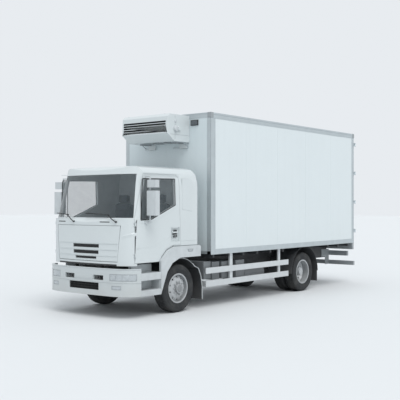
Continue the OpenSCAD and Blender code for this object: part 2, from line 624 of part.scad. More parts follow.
module handle() block([half_cab - 18, -200, 1600], [half_cab - 4, -20, 1640]);
module left_door() color(cab_c) truck() { cab_door(); door_knuckles(); handle(); block([half_cab - 26, -125, 1605], [half_cab - 17, -95, 1635]); }
module right_door() color(cab_c) truck() mirror([1, 0, 0]) { cab_door(); door_knuckles(); handle(); block([half_cab - 26, -125, 1605], [half_cab - 17, -95, 1635]); }
module door_glass() along_x(window_line, half_cab - 36, half_cab - 36 + glass_t);
module left_glass() color([0.35, 0.42, 0.46]) truck() door_glass();
module right_glass() color([0.35, 0.42, 0.46]) truck() mirror([1, 0, 0]) door_glass();
arm_r = 13;
arm_x = half_cab + 100;
arm_y = -960;
arm_top = 2692;
head_w = 220;
head_d = 120;
module mirrors() {
  tube_x(arm_r, half_cab - 14, arm_x, arm_y, arm_top);
  tube_x(arm_r, half_cab, arm_x, arm_y, 1835);
  translate([arm_x, arm_y, 1835 - arm_r]) cylinder(r = arm_r, h = arm_top - 1835 + 2 * arm_r);
  block([half_cab, arm_y - 45, 1790], [half_cab + 40, arm_y + 45, 1850]);
  difference() {
    union() {
      block([arm_x - 20, arm_y - 70, 1950], [arm_x - 20 + head_w, arm_y - 70 + head_d, 2420]);
      block([arm_x - 20, arm_y - 60, 2480], [arm_x - 30 + head_w, arm_y - 70 + head_d, 2625]);
    }
    block([arm_x - 5, arm_y + head_d - 82, 1970], [arm_x - 40 + head_w, arm_y + head_d, 2400]);
  }
}
module left_mirrors() color([0.85, 0.86, 0.87]) truck() mirrors();
module right_mirrors() color([0.85, 0.86, 0.87]) truck() mirror([1, 0, 0]) mirrors();

// ---------------------------------------------------------------- box
box_c = [0.9, 0.93, 0.95];
frame_y = box_end - frame_d;
post_w = 60;
frame_top = 80;
module box_floor() color([0.6, 0.62, 0.63]) truck()
  block([-half_box + wall, box_front + front_wall, box_base], [half_box - wall, frame_y, box_base + floor_t]);
module box_front_wall() color(box_c) truck()
  block([-half_box, box_front, box_base], [half_box, box_front + front_wall, box_top - frame_top]);
module box_side_walls() color(box_c) truck() both()
  block([half_box - wall, box_front + front_wall, box_base], [half_box, frame_y, box_top - frame_top]);
module box_roof() color(box_c) truck()
  block([-half_box, box_front, box_top - frame_top], [half_box, frame_y, box_top]);
open_x = half_box - post_w;
open_z0 = box_base + floor_t;
open_z1 = box_top - frame_top;
pin_x = half_box + hinge_out;
pin_y = box_end + hinge_back;
pin_r = 9;
strap_n = 4;
strap_h = 60;
function strap_z(i) = open_z0 + 180 + i * (open_z1 - open_z0 - 360 - strap_h) / (strap_n - 1);
module rear_frame() color([0.75, 0.78, 0.8]) truck() {
  difference() {
    block([-half_box, frame_y, box_base], [half_box, box_end, box_top]);
    block([-open_x, frame_y - 1, open_z0], [open_x, box_end + 1, open_z1]);
  }
  // fixed hinge lugs with their pins
  both() for (i = [0 : strap_n - 1]) {
    for (z = [strap_z(i) - 16, strap_z(i) + strap_h + 2])
      along_z([[half_box, box_end - 60], [pin_x + 14, box_end - 20], [pin_x + 14, pin_y + 12], [pin_x - 14, pin_y + 12],
               [pin_x - 14, box_end + 6], [half_box, box_end - 1]], z, z + 14);
    translate([pin_x, pin_y, strap_z(i) - 16]) cylinder(r = pin_r, h = strap_h + 32);
  }
}
bar_r = 14;
bar_out = 22;
module rear_door() {
  block([leaf_gap / 2, box_end - door_t, open_z0 + door_gap], [open_x - door_gap, box_end, open_z1 - door_gap]);
  for (i = [0 : strap_n - 1]) difference() {
    union() {
      along_z([[open_x - 260, box_end], [open_x - door_gap, box_end], [open_x - door_gap, box_end + 6], [half_box - 10, box_end + 8],
               [pin_x - 12, pin_y - 14], [pin_x, pin_y + 16], [pin_x - 20, pin_y + 6], [half_box - 24, box_end + 20],
               [open_x - 260, box_end + 10]], strap_z(i), strap_z(i) + strap_h);
      translate([pin_x, pin_y, strap_z(i)]) cylinder(r = 18, h = strap_h);
    }
    translate([pin_x, pin_y, strap_z(i) - 1]) cylinder(r = pin_r + fit, h = strap_h + 2);
  }
  // two lock bars with guides and handles
  for (x = [leaf_gap / 2 + 130, open_x - 330]) {
    translate([x, box_end + bar_out, open_z0 - 60]) cylinder(r = bar_r, h = open_z1 - open_z0 + 110);
    for (z = [open_z0 + 60, 1900, 2700, open_z1 - 120])
      block([x - 40, box_end, z], [x + 40, box_end + bar_out, z + 50]);
    block([x, box_end + bar_out - 6, 1500], [x + (x < 400 ? 260 : -260), box_end + bar_out + 6, 1530]);
  }
}
module rear_left_door() color(box_c) truck() rear_door();
module rear_right_door() color(box_c) truck() mirror([1, 0, 0]) rear_door();
unit_w = 650;
unit_front = 200;
unit_z0 = 3480;
unit_z1 = 4050;
louvre_n = 5;
module cooling_unit() color([0.9, 0.92, 0.93]) truck() {
  difference() {
    along_x([[unit_front, 3640], [unit_front + 15, 3990], [unit_front + 70, unit_z1], [box_front, unit_z1], [box_front, unit_z0],
             [unit_front + 220, unit_z0]], -unit_w, unit_w);
    for (i = [0 : louvre_n - 1])
      block([-unit_w + 40, unit_front - 10, 3665 + i * 50], [unit_w - 60, unit_front + 60, 3695 + i * 50]);
  }
  for (x = [-500, 400]) block([x, box_front - 40, unit_z0 - 120], [x + 200, box_front, unit_z0]);
  tube_x(50, unit_w, unit_w + 35, 560, 3760);
}

chassis_frame();
floor_bearers();
leaf_springs();
front_axle();
rear_axle();
engine_block();
gearbox_shaft();
silencer();
fuel_tank();
chassis_boxes();
front_bumper();
headlamps();
cab_steps();
front_mudguards();
rear_mudguards();
side_guards();
rear_bumper();
tail_lamps();
left_knuckle();
right_knuckle();
front_left_tyre();
front_left_rim();
front_right_tyre();
front_right_rim();
rear_left_tyres();
rear_left_rims();
rear_right_tyres();
rear_right_rims();
cab_floor();
cab_front();
cab_roof();
cab_rear();
cab_sides();
windscreen();
front_hatch();
wipers();
dashboard();
steering_wheel();
seats();
left_door();
right_door();
left_glass();
right_glass();
left_mirrors();
right_mirrors();
box_floor();
box_front_wall();
box_side_walls();
box_roof();
rear_frame();
rear_left_door();
rear_right_door();
cooling_unit();
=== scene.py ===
import json
import math

import bmesh
import bpy
from mathutils import Matrix, Vector

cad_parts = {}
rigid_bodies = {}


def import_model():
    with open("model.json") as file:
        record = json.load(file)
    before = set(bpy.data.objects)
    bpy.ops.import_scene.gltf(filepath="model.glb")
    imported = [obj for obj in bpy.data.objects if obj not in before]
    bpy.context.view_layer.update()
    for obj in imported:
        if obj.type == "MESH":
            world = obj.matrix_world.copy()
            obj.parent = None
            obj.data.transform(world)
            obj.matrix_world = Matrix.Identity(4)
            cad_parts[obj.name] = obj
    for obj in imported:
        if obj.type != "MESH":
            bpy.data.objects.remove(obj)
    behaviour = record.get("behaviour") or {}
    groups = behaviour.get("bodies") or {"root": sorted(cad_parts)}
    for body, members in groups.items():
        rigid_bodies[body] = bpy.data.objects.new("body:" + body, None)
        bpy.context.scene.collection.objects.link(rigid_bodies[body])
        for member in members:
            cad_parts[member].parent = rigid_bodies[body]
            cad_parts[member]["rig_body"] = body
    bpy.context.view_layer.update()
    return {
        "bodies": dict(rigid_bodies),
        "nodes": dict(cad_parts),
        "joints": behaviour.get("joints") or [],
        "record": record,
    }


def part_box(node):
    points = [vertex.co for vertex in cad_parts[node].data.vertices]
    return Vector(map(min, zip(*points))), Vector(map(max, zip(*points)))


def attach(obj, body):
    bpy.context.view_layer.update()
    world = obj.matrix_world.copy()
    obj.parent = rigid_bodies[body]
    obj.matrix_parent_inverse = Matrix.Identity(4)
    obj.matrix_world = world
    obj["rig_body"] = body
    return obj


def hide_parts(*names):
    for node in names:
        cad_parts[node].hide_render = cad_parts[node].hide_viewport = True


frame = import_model()
nodes = frame["nodes"]
rad = math.radians


def middle(node, axis):
    low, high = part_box(node)
    return (low[axis] + high[axis]) / 2


# Distances along the truck are given from the front axle, as on a chassis drawing.
AXLE = middle("front_left_tyre", 1)
REAR_AXLE = middle("rear_left_tyres", 1) - AXLE
HUB = middle("front_left_tyre", 2)
TYRE_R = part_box("front_left_tyre")[1].z - HUB
BOX_LOW, BOX_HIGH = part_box("box_side_walls")[0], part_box("box_roof")[1]
BOX_X = BOX_HIGH.x
BOX_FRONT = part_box("box_front_wall")[0].y - AXLE
BOX_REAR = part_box("rear_frame")[0].y - AXLE + 0.08
BOX_BASE, BOX_TOP = BOX_LOW.z, BOX_HIGH.z
CAB_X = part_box("cab_rear")[1].x


# ------------------------------------------------------------------ finishes
class Wire:
    """A value on its way to a shader. Plain arithmetic on it adds the Math nodes."""

    def __init__(self, finish, socket):
        self.finish, self.socket = finish, socket

    def sum(self, operation, a, b):
        return self.finish.node("ShaderNodeMath", {"operation": operation}, {0: a, 1: b})

    def __add__(self, other):
        return self.sum("ADD", self, other)

    __radd__ = __add__

    def __sub__(self, other):
        return self.sum("SUBTRACT", self, other)

    def __rsub__(self, other):
        return self.sum("SUBTRACT", other, self)

    def __mul__(self, other):
        return self.sum("MULTIPLY", self, other)

    __rmul__ = __mul__

    def __truediv__(self, other):
        return self.sum("DIVIDE", self, other)

    def __pow__(self, other):
        return self.sum("POWER", self, other)

    def above(self, level, soft):
        """0 below the level, 1 above it, over a soft band."""
        return self.finish.node("ShaderNodeMapRange", {"interpolation_type": "SMOOTHSTEP"},
                                {0: self, 1: level - soft, 2: level + soft, 3: 0.0, 4: 1.0})


class Finish:
    """One material, with its surface shader and the nodes that feed it."""

    def __init__(self, name, **settings):
        self.material = bpy.data.materials.new(name)
        self.material.use_nodes = True
        self.tree = self.material.node_tree
        self.shader = self.tree.nodes["Principled BSDF"]
        for key, value in settings.items():
            self.set(key.replace("_", " "), value)

    def set(self, socket, value):
        socket = self.shader.inputs[socket]
        if isinstance(value, Wire):
            self.tree.links.new(value.socket, socket)
        elif socket.type == "RGBA":
            socket.default_value = (*value, 1.0)
        else:
            socket.default_value = value

    def node(self, kind, settings=None, sockets=None, output=0):
        made = self.tree.nodes.new(kind)
        for key, value in (settings or {}).items():
            if key == "stops":
                ramp = made.color_ramp
                while len(ramp.elements) < len(value):
                    ramp.elements.new(0.5)
                for element, (place, colour) in zip(ramp.elements, value):
                    element.position, element.color = place, (*colour, 1.0)
            else:
                setattr(made, key, value)
        for key, value in (sockets or {}).items():
            socket = made.inputs[key]
            if isinstance(value, Wire):
                self.tree.links.new(value.socket, socket)
            elif socket.type == "RGBA":
                socket.default_value = (*value, 1.0)
            else:
                socket.default_value = value
        return Wire(self, made.outputs[output])

    def place(self):
        """The point on the piece, in metres, fixed to the piece as it moves."""
        return self.node("ShaderNodeTexCoord", output="Object")

    def axis(self, index):
        return self.node("ShaderNodeSeparateXYZ", None, {0: self.place()}, index)

    def noise(self, scale, detail=3.0, rough=0.55, stretch=None):
        where = self.place()
        if stretch:
            where = self.node("ShaderNodeVectorMath", {"operation": "MULTIPLY"}, {0: where, 1: stretch})
        return self.node("ShaderNodeTexNoise", None,
                         {"Vector": where, "Scale": scale, "Detail": detail, "Roughness": rough})

    def blend(self, mask, a, b):
        return self.node("ShaderNodeMix", {"data_type": "RGBA"}, {0: mask, 6: a, 7: b}, 2)

    def bump(self, height, strength, distance=0.002):
        self.set("Normal", self.node("ShaderNodeBump", None,
                                     {"Height": height, "Strength": strength, "Distance": distance}))


def tone(colour, k):
    return tuple(min(1.0, c * k) for c in colour)


def road_dust(f, colour, dust, start, amount):
    """Fine road dust that thickens towards the ground, broken up by noise."""
    low = 1 - f.axis(2).above(start * 0.55, start * 0.45)
    mask = low * (f.noise(3.0, 5.0) * 1.3 - 0.15) * amount
    return f.blend(mask, colour, dust)


def paint(name, colour, rough=0.34, coat=0.35, dust=0.5, start=1.3, ripple=0.03):
    f = Finish(name, Coat_Weight=coat, Coat_Roughness=0.12)
    f.set("Specular IOR Level", 0.45)
    base = f.blend(f.noise(1.6, 4.0), tone(colour, 0.965), tone(colour, 1.02))
    f.set("Base Color", road_dust(f, base, (0.42, 0.41, 0.39), start, dust))
    f.set("Roughness", f.noise(9.0, 4.0) * 0.12 + (rough - 0.06))
    f.bump(f.noise(420.0, 2.0) * 0.25 + f.noise(2.3, 2.0), ripple, 0.004)
    return f.material


def skin(name, colour):
    """Smooth sheet over foam: a faint long wave, and faint rain streaks from the top."""
    f = Finish(name, Coat_Weight=0.15, Coat_Roughness=0.2)
    f.set("Specular IOR Level", 0.4)
    streak = f.noise(1.0, 5.0, 0.6, (9.0, 9.0, 0.35)).above(0.56, 0.12)
    base = f.blend(f.noise(0.9, 4.0), tone(colour, 0.975), tone(colour, 1.015))
    base = f.blend(streak * 0.10, base, tone(colour, 0.86))
    f.set("Base Color", road_dust(f, base, (0.45, 0.46, 0.45), 1.9, 0.28))
    f.set("Roughness", f.noise(6.0, 4.0) * 0.14 + 0.33)
    f.bump(f.noise(1.1, 2.0) + f.noise(240.0, 2.0) * 0.05, 0.05, 0.01)
    return f.material


def metal(name, colour, rough=0.42, metallic=0.85, brushed=(1.0, 1.0, 1.0),
          depth=0.06, dust=0.35, start=1.2):
    f = Finish(name)
    f.set("Metallic", metallic)
    grain = f.noise(60.0, 4.0, 0.6, brushed)
    base = f.blend(f.noise(4.0, 4.0), tone(colour, 0.88), tone(colour, 1.06))
    f.set("Base Color", road_dust(f, base, (0.30, 0.29, 0.27), start, dust))
    f.set("Roughness", grain * 0.16 + (rough - 0.08))
    f.bump(grain, depth, 0.001)
    return f.material


def moulded(name, colour, rough=0.6, grain=900.0, depth=0.14, dust=0.5, start=1.2):
    f = Finish(name)
    base = f.blend(f.noise(7.0, 4.0), tone(colour, 0.85), tone(colour, 1.12))
    f.set("Base Color", road_dust(f, base, (0.27, 0.26, 0.25), start, dust))
    f.set("Roughness", f.noise(25.0, 3.0) * 0.15 + (rough - 0.07))
    cells = f.node("ShaderNodeTexVoronoi", None, {"Vector": f.place(), "Scale": grain})
    f.bump(cells, depth, 0.0006)
    return f.material


def tyre_rubber(name):
    f = Finish(name)
    f.set("Specular IOR Level", 0.3)
    colour = (0.026, 0.028, 0.030)
    base = f.blend(f.noise(14.0, 5.0), tone(colour, 0.75), tone(colour, 1.35))
    f.set("Base Color", f.blend(f.noise(5.0, 6.0).above(0.55, 0.15) * 0.5, base, (0.075, 0.074, 0.07)))
    f.set("Roughness", f.noise(40.0, 3.0) * 0.2 + 0.62)
    f.bump(f.noise(300.0, 3.0), 0.15, 0.0008)
    return f.material


def glazing(name, colour, alpha):
    f = Finish(name, Coat_Weight=0.6, Coat_Roughness=0.02)
    f.set("Base Color", f.blend(f.noise(2.0, 3.0), tone(colour, 0.9), tone(colour, 1.1)))
    f.set("Roughness", f.noise(12.0, 4.0) * 0.04 + 0.03)
    f.set("Alpha", f.noise(5.0, 4.0) * 0.06 + (alpha - 0.03))
    f.set("Specular IOR Level", 0.7)
    return f.material


def lens(name, colour, cell=120.0, glow=0.0):
    """Lamp cover with fine optic cells under a clear face."""
    f = Finish(name, Coat_Weight=0.8, Coat_Roughness=0.03)
    cells = f.node("ShaderNodeTexVoronoi", {"distance": "CHEBYCHEV"}, {"Vector": f.place(), "Scale": cell})
    f.set("Base Color", f.blend(cells, tone(colour, 1.15), tone(colour, 0.55)))
    f.set("Roughness", cells * 0.2 + 0.12)
    f.set("Metallic", 0.25)
    f.bump(cells, 0.3, 0.002)
    if glow:
        f.set("Emission Color", colour)
        f.set("Emission Strength", glow)
    return f.material


def cloth(name, colour, thread=700.0):
    """Woven seat cloth: two crossing sets of threads, with piled-up fibre noise."""
    f = Finish(name, Sheen_Weight=0.4, Sheen_Roughness=0.5)
    across = f.node("ShaderNodeTexWave", {"bands_direction": "X"},
                    {"Vector": f.place(), "Scale": thread / 6, "Distortion": 1.5, "Detail": 2.0})
    up = f.node("ShaderNodeTexWave", {"bands_direction": "Z"},
                {"Vector": f.place(), "Scale": thread / 6, "Distortion": 1.5, "Detail": 2.0})
    weave = across * up
    base = f.blend(weave, tone(colour, 0.6), tone(colour, 1.3))
    f.set("Base Color", f.blend(f.noise(6.0, 4.0) * 0.4, base, tone(colour, 1.8)))
    f.set("Roughness", weave * 0.15 + 0.8)
    f.bump(weave + f.noise(500.0, 3.0) * 0.4, 0.5, 0.001)
    return f.material


CAB_WHITE = paint("cab_white_paint", (0.60, 0.645, 0.655))
# The bumper paint is set darker than the cab paint, partly as painted shade from the bumper's shaded front.
BUMPER_WHITE = paint("bumper_white_paint", (0.52, 0.56, 0.57), rough=0.4, dust=0.7, start=1.0)
TRIM_WHITE = moulded("white_moulding", (0.53, 0.565, 0.58), rough=0.5, grain=1200.0, depth=0.06, dust=0.45)
SIDE_SKIN = skin("box_side_skin", (0.665, 0.72, 0.735))
# The front skin is the side skin in a slightly darker tone: painted shade on the front wall.
FRONT_SKIN_SHADED = skin("box_front_skin_shaded", (0.63, 0.70, 0.72))
DOOR_SKIN = skin("box_door_skin", (0.69, 0.75, 0.78))
PROFILE = metal("alloy_profile", (0.52, 0.57, 0.59), rough=0.5, metallic=0.55, brushed=(1, 1, 0.05))
FRAME_PAINT = moulded("chassis_black_paint", (0.035, 0.038, 0.041), rough=0.5, grain=300.0,
                      depth=0.1, dust=0.4, start=1.3)
GUARD_ALLOY = metal("side_guard_alloy", (0.63, 0.66, 0.675), rough=0.42, metallic=0.25,
                    brushed=(1, 0.05, 1), dust=0.3)
TANK_ALLOY = metal("tank_alloy", (0.50, 0.52, 0.53), rough=0.38, metallic=0.7, brushed=(1, 0.1, 1))
BOX_GREY = moulded("grey_box_paint", (0.17, 0.185, 0.195), rough=0.5, grain=300.0, depth=0.08)
CAST = moulded("cast_iron", (0.12, 0.125, 0.13), rough=0.65, grain=160.0, depth=0.4, dust=0.3)
RUBBER = tyre_rubber("tyre_rubber")
SEAL = moulded("seal_rubber", (0.028, 0.03, 0.032), rough=0.55, grain=600.0, depth=0.05, dust=0.2)
RIM_SILVER = metal("rim_silver_paint", (0.50, 0.52, 0.535), rough=0.42, metallic=0.45,
                   depth=0.04, dust=0.5, start=1.0)
HUB_GREY = metal("hub_grey_paint", (0.26, 0.27, 0.28), rough=0.5, metallic=0.3, depth=0.05)
STEEL = metal("plated_steel", (0.62, 0.63, 0.64), rough=0.3, metallic=0.95, brushed=(1, 1, 0.1))
DARK = moulded("dark_moulding", (0.030, 0.033, 0.036), rough=0.55, dust=0.3)
BLACK_GRILLE = moulded("grille_black", (0.012, 0.013, 0.014), rough=0.5, grain=500.0, depth=0.05, dust=0.0)
GREY_TRIM = moulded("grey_trim", (0.30, 0.325, 0.34), rough=0.5, grain=900.0, depth=0.08, dust=0.4)
GLASS = glazing("tinted_glass", (0.13, 0.165, 0.18), 0.13)
SIDE_GLASS = glazing("tinted_side_glass", (0.15, 0.19, 0.205), 0.16)
MIRROR = Finish("mirror_glass", Metallic=1.0)
MIRROR.set("Base Color", MIRROR.blend(MIRROR.noise(3.0), (0.75, 0.78, 0.8), (0.82, 0.85, 0.87)))
MIRROR.set("Roughness", MIRROR.noise(20.0) * 0.04 + 0.02)
MIRROR = MIRROR.material
LAMP_CLEAR = lens("lamp_clear_lens", (0.50, 0.54, 0.565))
LAMP_RED = lens("lamp_red_lens", (0.48, 0.02, 0.02))
LAMP_AMBER = lens("lamp_amber_lens", (0.75, 0.26, 0.03))
LAMP_DARK = lens("lamp_smoked_lens", (0.10, 0.115, 0.125))
FLOOR_ALLOY = metal("load_floor_alloy", (0.5, 0.52, 0.53), rough=0.45, metallic=0.8,
                    brushed=(1, 0.03, 1), depth=0.15)
CAB_LINING = moulded("cab_lining", (0.60, 0.63, 0.645), rough=0.75, grain=700.0, depth=0.2, dust=0.0)
DASH_TOP = moulded("dashboard_moulding", (0.20, 0.212, 0.222), rough=0.65, grain=700.0, depth=0.3, dust=0.0)
SEAT_CLOTH = cloth("seat_cloth", (0.075, 0.085, 0.10))


# ------------------------------------------------------------------ shapes
def finished(name, mesh, body, finish, bevel=0.0, segments=2, angle=28.0):
    """A piece from a mesh: soft edges, smooth shading across shallow bends, and the body it rides on."""
    piece = bpy.data.objects.new(name, mesh)
    bpy.context.scene.collection.objects.link(piece)
    for one in finish if isinstance(finish, (list, tuple)) else [finish]:
        mesh.materials.append(one)
    mesh.shade_smooth()
    if bevel:
        edge = piece.modifiers.new("soft_edges", "BEVEL")
        edge.width, edge.segments, edge.limit_method = bevel, segments, "ANGLE"
        edge.angle_limit, edge.harden_normals = rad(angle), True
        edge.use_clamp_overlap = True
    else:
        mesh.set_sharp_from_angle(angle=rad(angle))
    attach(piece, body)
    return piece


def mesh_of(name, bm):
    mesh = bpy.data.meshes.new(name)
    bmesh.ops.recalc_face_normals(bm, faces=bm.faces)
    bm.to_mesh(mesh)
    bm.free()
    return mesh


def piece_from(name, bm, body, finish, bevel=0.0, segments=2, angle=28.0):
    """Turns what has been drawn into a finished piece."""
    return finished(name, mesh_of(name, bm), body, finish, bevel, segments, angle)


def softened(node, finish, bevel=0.006, segments=2, angle=28.0, pick=None):
    """The CAD node's own shape with rounded edges, standing in its place."""
    bm = bmesh.new()
    bm.from_mesh(nodes[node].data)
    layer = bm.loops.layers.float_vector.get("custom_normal")
    if layer:
        bm.loops.layers.float_vector.remove(layer)
    bmesh.ops.remove_doubles(bm, verts=bm.verts, dist=2e-5)
    bmesh.ops.dissolve_limit(bm, angle_limit=rad(0.5), verts=bm.verts, edges=bm.edges)
    for face in bm.faces:
        face.material_index = pick(face) if pick else 0
    mesh = mesh_of(node + "_shape", bm)
    if "custom_normal" in mesh.attributes:
        mesh.attributes.remove(mesh.attributes["custom_normal"])
    piece = finished(node + "_shape", mesh, nodes[node]["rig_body"], finish, bevel, segments, angle)
    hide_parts(node)
    return piece


def dress(node, finish):
    data = nodes[node].data
    data.materials.clear()
    data.materials.append(finish)


def block(bm, low, high):
    """A block between two corners, given from the front axle."""
    made = bmesh.ops.create_cube(bm, size=1.0)["verts"]
    for v in made:
        for i in range(3):
            v.co[i] = low[i] + (v.co[i] + 0.5) * (high[i] - low[i])
        v.co.y += AXLE
    return made


def both_sides(bm):
    """Adds the mirror image of everything drawn so far."""
    made = bmesh.ops.duplicate(bm, geom=bm.verts[:] + bm.edges[:] + bm.faces[:])["geom"]
    for v in (g for g in made if isinstance(g, bmesh.types.BMVert)):
        v.co.x = -v.co.x
    bmesh.ops.reverse_faces(bm, faces=[g for g in made if isinstance(g, bmesh.types.BMFace)])


def on_side(bm, sign):
    """Keeps what is drawn on the left, or moves it to the right."""
    if sign < 0:
        for v in bm.verts:
            v.co.x = -v.co.x


def wrap(bm, here, there, closed=True):
    """Faces between two rows of points."""
    for i in range(len(here) if closed else len(here) - 1):
        j = (i + 1) % len(here)
        bm.faces.new([here[i], here[j], there[j], there[i]])


def prism(bm, points, axis, low, high):
    """A flat outline drawn out along an axis. Points are the other two coordinates in X, Y, Z order."""
    def spot(p, t):
        q = list(p)
        q.insert(axis, t)
        q[1] += AXLE
        return bm.verts.new(q)
    ends = [[spot(p, t) for p in points] for t in (low, high)]
    bm.faces.new(ends[0])
    bm.faces.new(list(reversed(ends[1])))
    for i in range(len(points)):
        j = (i + 1) % len(points)
        bm.faces.new([ends[0][i], ends[0][j], ends[1][j], ends[1][i]])


def lathe(bm, outline, x, y, z=None, steps=72, flip=1.0):
    """An outline of [radius, offset] turned about an axle that runs along X."""
    z = HUB if z is None else z
    rings = []
    for k in range(steps):
        a = 2 * math.pi * k / steps
        rings.append([bm.verts.new((x + flip * o, AXLE + y + r * math.sin(a), z + r * math.cos(a)))
                      for r, o in outline])
    for k in range(steps):
        wrap(bm, rings[k], rings[(k + 1) % steps], False)
    return rings


def rod(bm, a, b, radius, sides=16):
    """A round bar between two points, given from the front axle."""
    a, b = (Vector((p[0], p[1] + AXLE, p[2])) for p in (a, b))
    turn = (b - a).to_track_quat("Z", "Y").to_matrix().to_4x4()
    bmesh.ops.create_cone(bm, cap_ends=True, segments=sides, radius1=radius,
                          radius2=radius, depth=(b - a).length,
                          matrix=Matrix.Translation((a + b) / 2) @ turn)


def bead(bm, at, radius, normal, flat=0.45):
    """A low domed rivet head."""
    n = Vector(normal)
    turn = n.to_track_quat("Z", "Y").to_matrix().to_4x4()
    centre = Matrix.Translation(Vector((at[0], at[1] + AXLE, at[2])))
    place = centre @ turn @ Matrix.Diagonal((1, 1, flat, 1))
    bmesh.ops.create_uvsphere(bm, u_segments=8, v_segments=5, radius=radius, matrix=place)


# ------------------------------------------------------------------ carried-over shapes, edges softened
for node in ("chassis_frame", "floor_bearers", "leaf_springs", "front_axle", "rear_axle",
             "left_knuckle", "right_knuckle"):
    dress(node, FRAME_PAINT)
for node in ("engine_block", "gearbox_shaft"):
    dress(node, CAST)
dress("silencer", TANK_ALLOY)
softened("rear_bumper", GREY_TRIM, 0.006)
softened("fuel_tank", TANK_ALLOY, 0.05, 4)
softened("chassis_boxes", BOX_GREY, 0.012, 2)
softened("front_bumper", BUMPER_WHITE, 0.010, 3)
softened("headlamps", LAMP_CLEAR, 0.006, 2)
softened("cab_steps", TRIM_WHITE, 0.010, 2)


def arch_side(face):
    """The liner is dark, partly its own dark moulding and partly painted shade inside the arch; only the
    flare outside it is pale.
    """
    c, n = face.calc_center_median(), face.normal
    to_wheel = Vector((0.0, AXLE - c.y, HUB - c.z)).normalized()
    return 1 if n.dot(to_wheel) > 0.25 or abs(c.x) < 1.10 else 0


softened("front_mudguards", [TRIM_WHITE, DARK], 0.006, 2, 28.0, arch_side)
softened("rear_mudguards", DARK, 0.002, 1)
softened("side_guards", GUARD_ALLOY, 0.012, 3)
softened("tail_lamps", LAMP_RED, 0.006, 2)
softened("cab_floor", CAB_LINING, 0.003, 1)


def lined(face):
    """Faces that look into the cab take the lining."""
    c = face.calc_center_median() - Vector((0.0, AXLE - 0.40, 1.95))
    inside = Vector((c.x / 1.13, c.y / 1.07, c.z / 0.95))
    return 1 if face.normal.dot(inside) < -0.02 and max(abs(v) for v in inside) < 0.985 else 0


for node, soft in (("cab_front", 0.010), ("cab_roof", 0.004), ("cab_rear", 0.004), ("cab_sides", 0.006)):
    softened(node, [CAB_WHITE, CAB_LINING], soft, 2, 28.0, lined)
softened("front_hatch", CAB_WHITE, 0.007, 3)
softened("left_door", [CAB_WHITE, CAB_LINING], 0.006, 2, 28.0, lined)
softened("right_door", [CAB_WHITE, CAB_LINING], 0.006, 2, 28.0, lined)
softened("windscreen", GLASS, 0.0)
for node in ("left_glass", "right_glass"):
    softened(node, SIDE_GLASS, 0.0)
for node in ("left_mirrors", "right_mirrors"):
    softened(node, TRIM_WHITE, 0.030, 5)
softened("dashboard", DASH_TOP, 0.03, 4)
softened("steering_wheel", DARK, 0.0)
softened("box_front_wall", FRONT_SKIN_SHADED, 0.003, 1)
softened("box_side_walls", SIDE_SKIN, 0.002, 1)
softened("box_roof", PROFILE, 0.006, 2)
softened("box_floor", FLOOR_ALLOY, 0.0)
softened("rear_frame", PROFILE, 0.003, 1)
softened("rear_left_door", DOOR_SKIN, 0.004, 2)
softened("rear_right_door", DOOR_SKIN, 0.004, 2)


# ------------------------------------------------------------------ box trim
STRIP = 0.004        # how far the alloy strips stand off the skins
RAIL_LOW, RAIL_HIGH = BOX_BASE + 0.102, BOX_TOP - 0.110


def box_trim():
    bm = bmesh.new()
    # side: front corner strip, rear strip, roof rail in two steps, bottom rail with a drip edge
    block(bm, (BOX_X, BOX_FRONT - STRIP, BOX_BASE), (BOX_X + STRIP, BOX_FRONT + 0.150, RAIL_HIGH))
    block(bm, (BOX_X + STRIP, BOX_FRONT + 0.138, BOX_BASE),
          (BOX_X + STRIP + 0.003, BOX_FRONT + 0.150, RAIL_HIGH))
    block(bm, (BOX_X, BOX_REAR - 0.122, RAIL_LOW), (BOX_X + STRIP, BOX_REAR + 0.001, RAIL_HIGH))
    block(bm, (BOX_X, BOX_FRONT, RAIL_HIGH), (BOX_X + STRIP, BOX_REAR, BOX_TOP - 0.035))
    block(bm, (BOX_X, BOX_FRONT, BOX_TOP - 0.035), (BOX_X + 0.010, BOX_REAR, BOX_TOP + 0.002))
    block(bm, (BOX_X, BOX_FRONT, RAIL_HIGH - 0.006), (BOX_X + 0.008, BOX_REAR, RAIL_HIGH + 0.010))
    block(bm, (BOX_X, BOX_FRONT + 0.150, BOX_BASE - 0.012), (BOX_X + STRIP, BOX_REAR, RAIL_LOW))
    block(bm, (BOX_X, BOX_FRONT, BOX_BASE - 0.012), (BOX_X + 0.009, BOX_REAR, BOX_BASE + 0.010))
    # front face: corner strip and top rail
    block(bm, (BOX_X - 0.097, BOX_FRONT - STRIP, BOX_BASE), (BOX_X + STRIP, BOX_FRONT, RAIL_HIGH))
    both_sides(bm)
    block(bm, (-BOX_X, BOX_FRONT - STRIP, RAIL_HIGH), (BOX_X, BOX_FRONT, BOX_TOP - 0.02))
    block(bm, (-BOX_X, BOX_FRONT - 0.010, BOX_TOP - 0.02), (BOX_X, BOX_FRONT, BOX_TOP + 0.002))
    block(bm, (-BOX_X, BOX_FRONT - STRIP, BOX_BASE), (BOX_X, BOX_FRONT, BOX_BASE + 0.06))
    return piece_from("box_edge_trim", bm, "chassis", PROFILE, 0.0012, 1)


def corner_caps():
    bm = bmesh.new()
    for y in (BOX_FRONT - 0.012, BOX_REAR - 0.085):
        block(bm, (BOX_X - 0.085, y, BOX_TOP - 0.11), (BOX_X + 0.014, y + 0.095, BOX_TOP + 0.006))
    both_sides(bm)
    return piece_from("box_corner_caps", bm, "chassis", GREY_TRIM, 0.010, 3)


